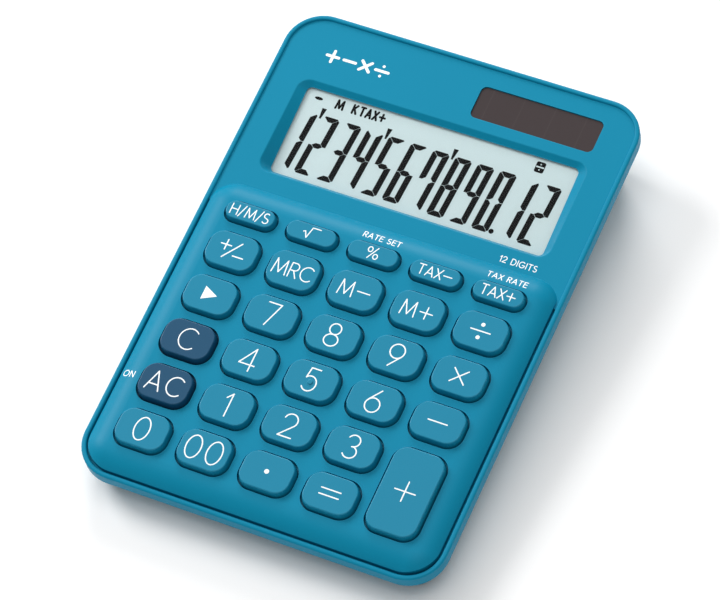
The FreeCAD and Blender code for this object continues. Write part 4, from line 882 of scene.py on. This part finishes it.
# %% The small signs above the digits
SIGN_LINE = 11.3
SIGN_CAP = 2.5
BOLD_PEN = 0.6
dash = arc(-36.5, SIGN_LINE, 1.2, 0.46, 0, 345)
lcd_piece("lcd_sign_minus", [[Vector(point) for point in dash]])
for name, text, middle, narrow in (("memory", "M", -30.0, 0.9), ("constant", "K", -25.5, 0.8),
                                   ("tax", "TAX+", -20.2, 0.74)):
    lcd_piece("lcd_sign_" + name,
              word_outlines(text, SIGN_CAP, BOLD_PEN, (middle, SIGN_LINE), 0.3, narrow))
ICON_MIDDLE = (29.6, SIGN_LINE - 0.2)
icon = [point + Vector(ICON_MIDDLE) for point in rounded_plate(2.65, 3.2, 0.5)]
lcd_piece("lcd_sign_frame", [icon])
lcd_piece("lcd_sign_divide", word_outlines(":", 2.3, 0.42, ICON_MIDDLE), 0.05, 0.08,
          "display_glass")
print("five small signs")

# %% [markdown]
# ## Light, table and camera
# Product pictures like this one are lit by soft lights from the left and from behind, and by
# white all round. The low lights give each rounded edge a pale line on one side and a dark
# one on the other, which is what makes plain blue plastic look solid. A weak light overhead
# keeps the shadow pale.
# The table is a plain white sheet. It isn't part of the object.

# %% Table
TABLE_HALF = 3.0

table_mesh = bpy.data.meshes.new("table_top")
table_mesh.from_pydata([(-TABLE_HALF, -TABLE_HALF, 0), (TABLE_HALF, -TABLE_HALF, 0),
                        (TABLE_HALF, TABLE_HALF, 0), (-TABLE_HALF, TABLE_HALF, 0)],
                       [], [(0, 1, 2, 3)])
table = bpy.data.objects.new("table_top", table_mesh)
bpy.context.scene.collection.objects.link(table)
paper, tree, shader = new_material("white_table", Roughness=0.9, Specular_IOR_Level=0.1)
shader.inputs["Base Color"].default_value = (0.98, 0.98, 0.98, 1)
table_mesh.materials.append(paper)

# %% Lights
WORLD_STRENGTH = 0.45

world = bpy.data.worlds.new("white_studio")
bpy.context.scene.world = world
world.use_nodes = True
world.node_tree.nodes["Background"].inputs["Color"].default_value = (1.0, 1.0, 1.0, 1)
world.node_tree.nodes["Background"].inputs["Strength"].default_value = WORLD_STRENGTH


def soft_light(name, place, size, watts):
    """A round soft light aimed at the middle of the calculator."""
    light = bpy.data.lights.new(name, "AREA")
    light.shape = "DISK"
    light.size = size
    light.energy = watts
    lamp = bpy.data.objects.new(name, light)
    bpy.context.scene.collection.objects.link(lamp)
    lamp.location = place
    lamp.rotation_euler = (-Vector(place)).to_track_quat("-Z", "Y").to_euler()
    return lamp


soft_light("left_light", (-1.0, 0.3, 0.8), 0.6, 9.5)
soft_light("rear_light", (-0.4, 1.0, 0.6), 0.6, 7.0)
soft_light("overhead_light", (0.1, 0.0, 1.4), 1.2, 5.5)
bpy.context.scene.view_settings.view_transform = "Standard"

# %% Camera
AIM = Vector((-0.7, -1.9, 12.0)) * MM
DISTANCE = 1.073
AROUND = math.radians(35.1)
UP = math.radians(56.7)
ROLL = math.radians(-12.41)
LENS = 201.6

camera_data = bpy.data.cameras.new("camera")
camera = bpy.data.objects.new("camera", camera_data)
bpy.context.scene.collection.objects.link(camera)
toward = Vector((math.sin(AROUND) * math.cos(UP), -math.cos(AROUND) * math.cos(UP),
                 math.sin(UP)))
level = (-toward).to_track_quat("-Z", "Y").to_matrix().to_4x4()
camera.matrix_world = (Matrix.Translation(AIM + toward * DISTANCE) @ level
                       @ Matrix.Rotation(ROLL, 4, "Z"))
camera_data.lens = LENS
camera_data.sensor_width = 36.0
camera_data.clip_start = 0.05
bpy.context.scene.camera = camera
print("camera", [round(value, 3) for value in camera.location])
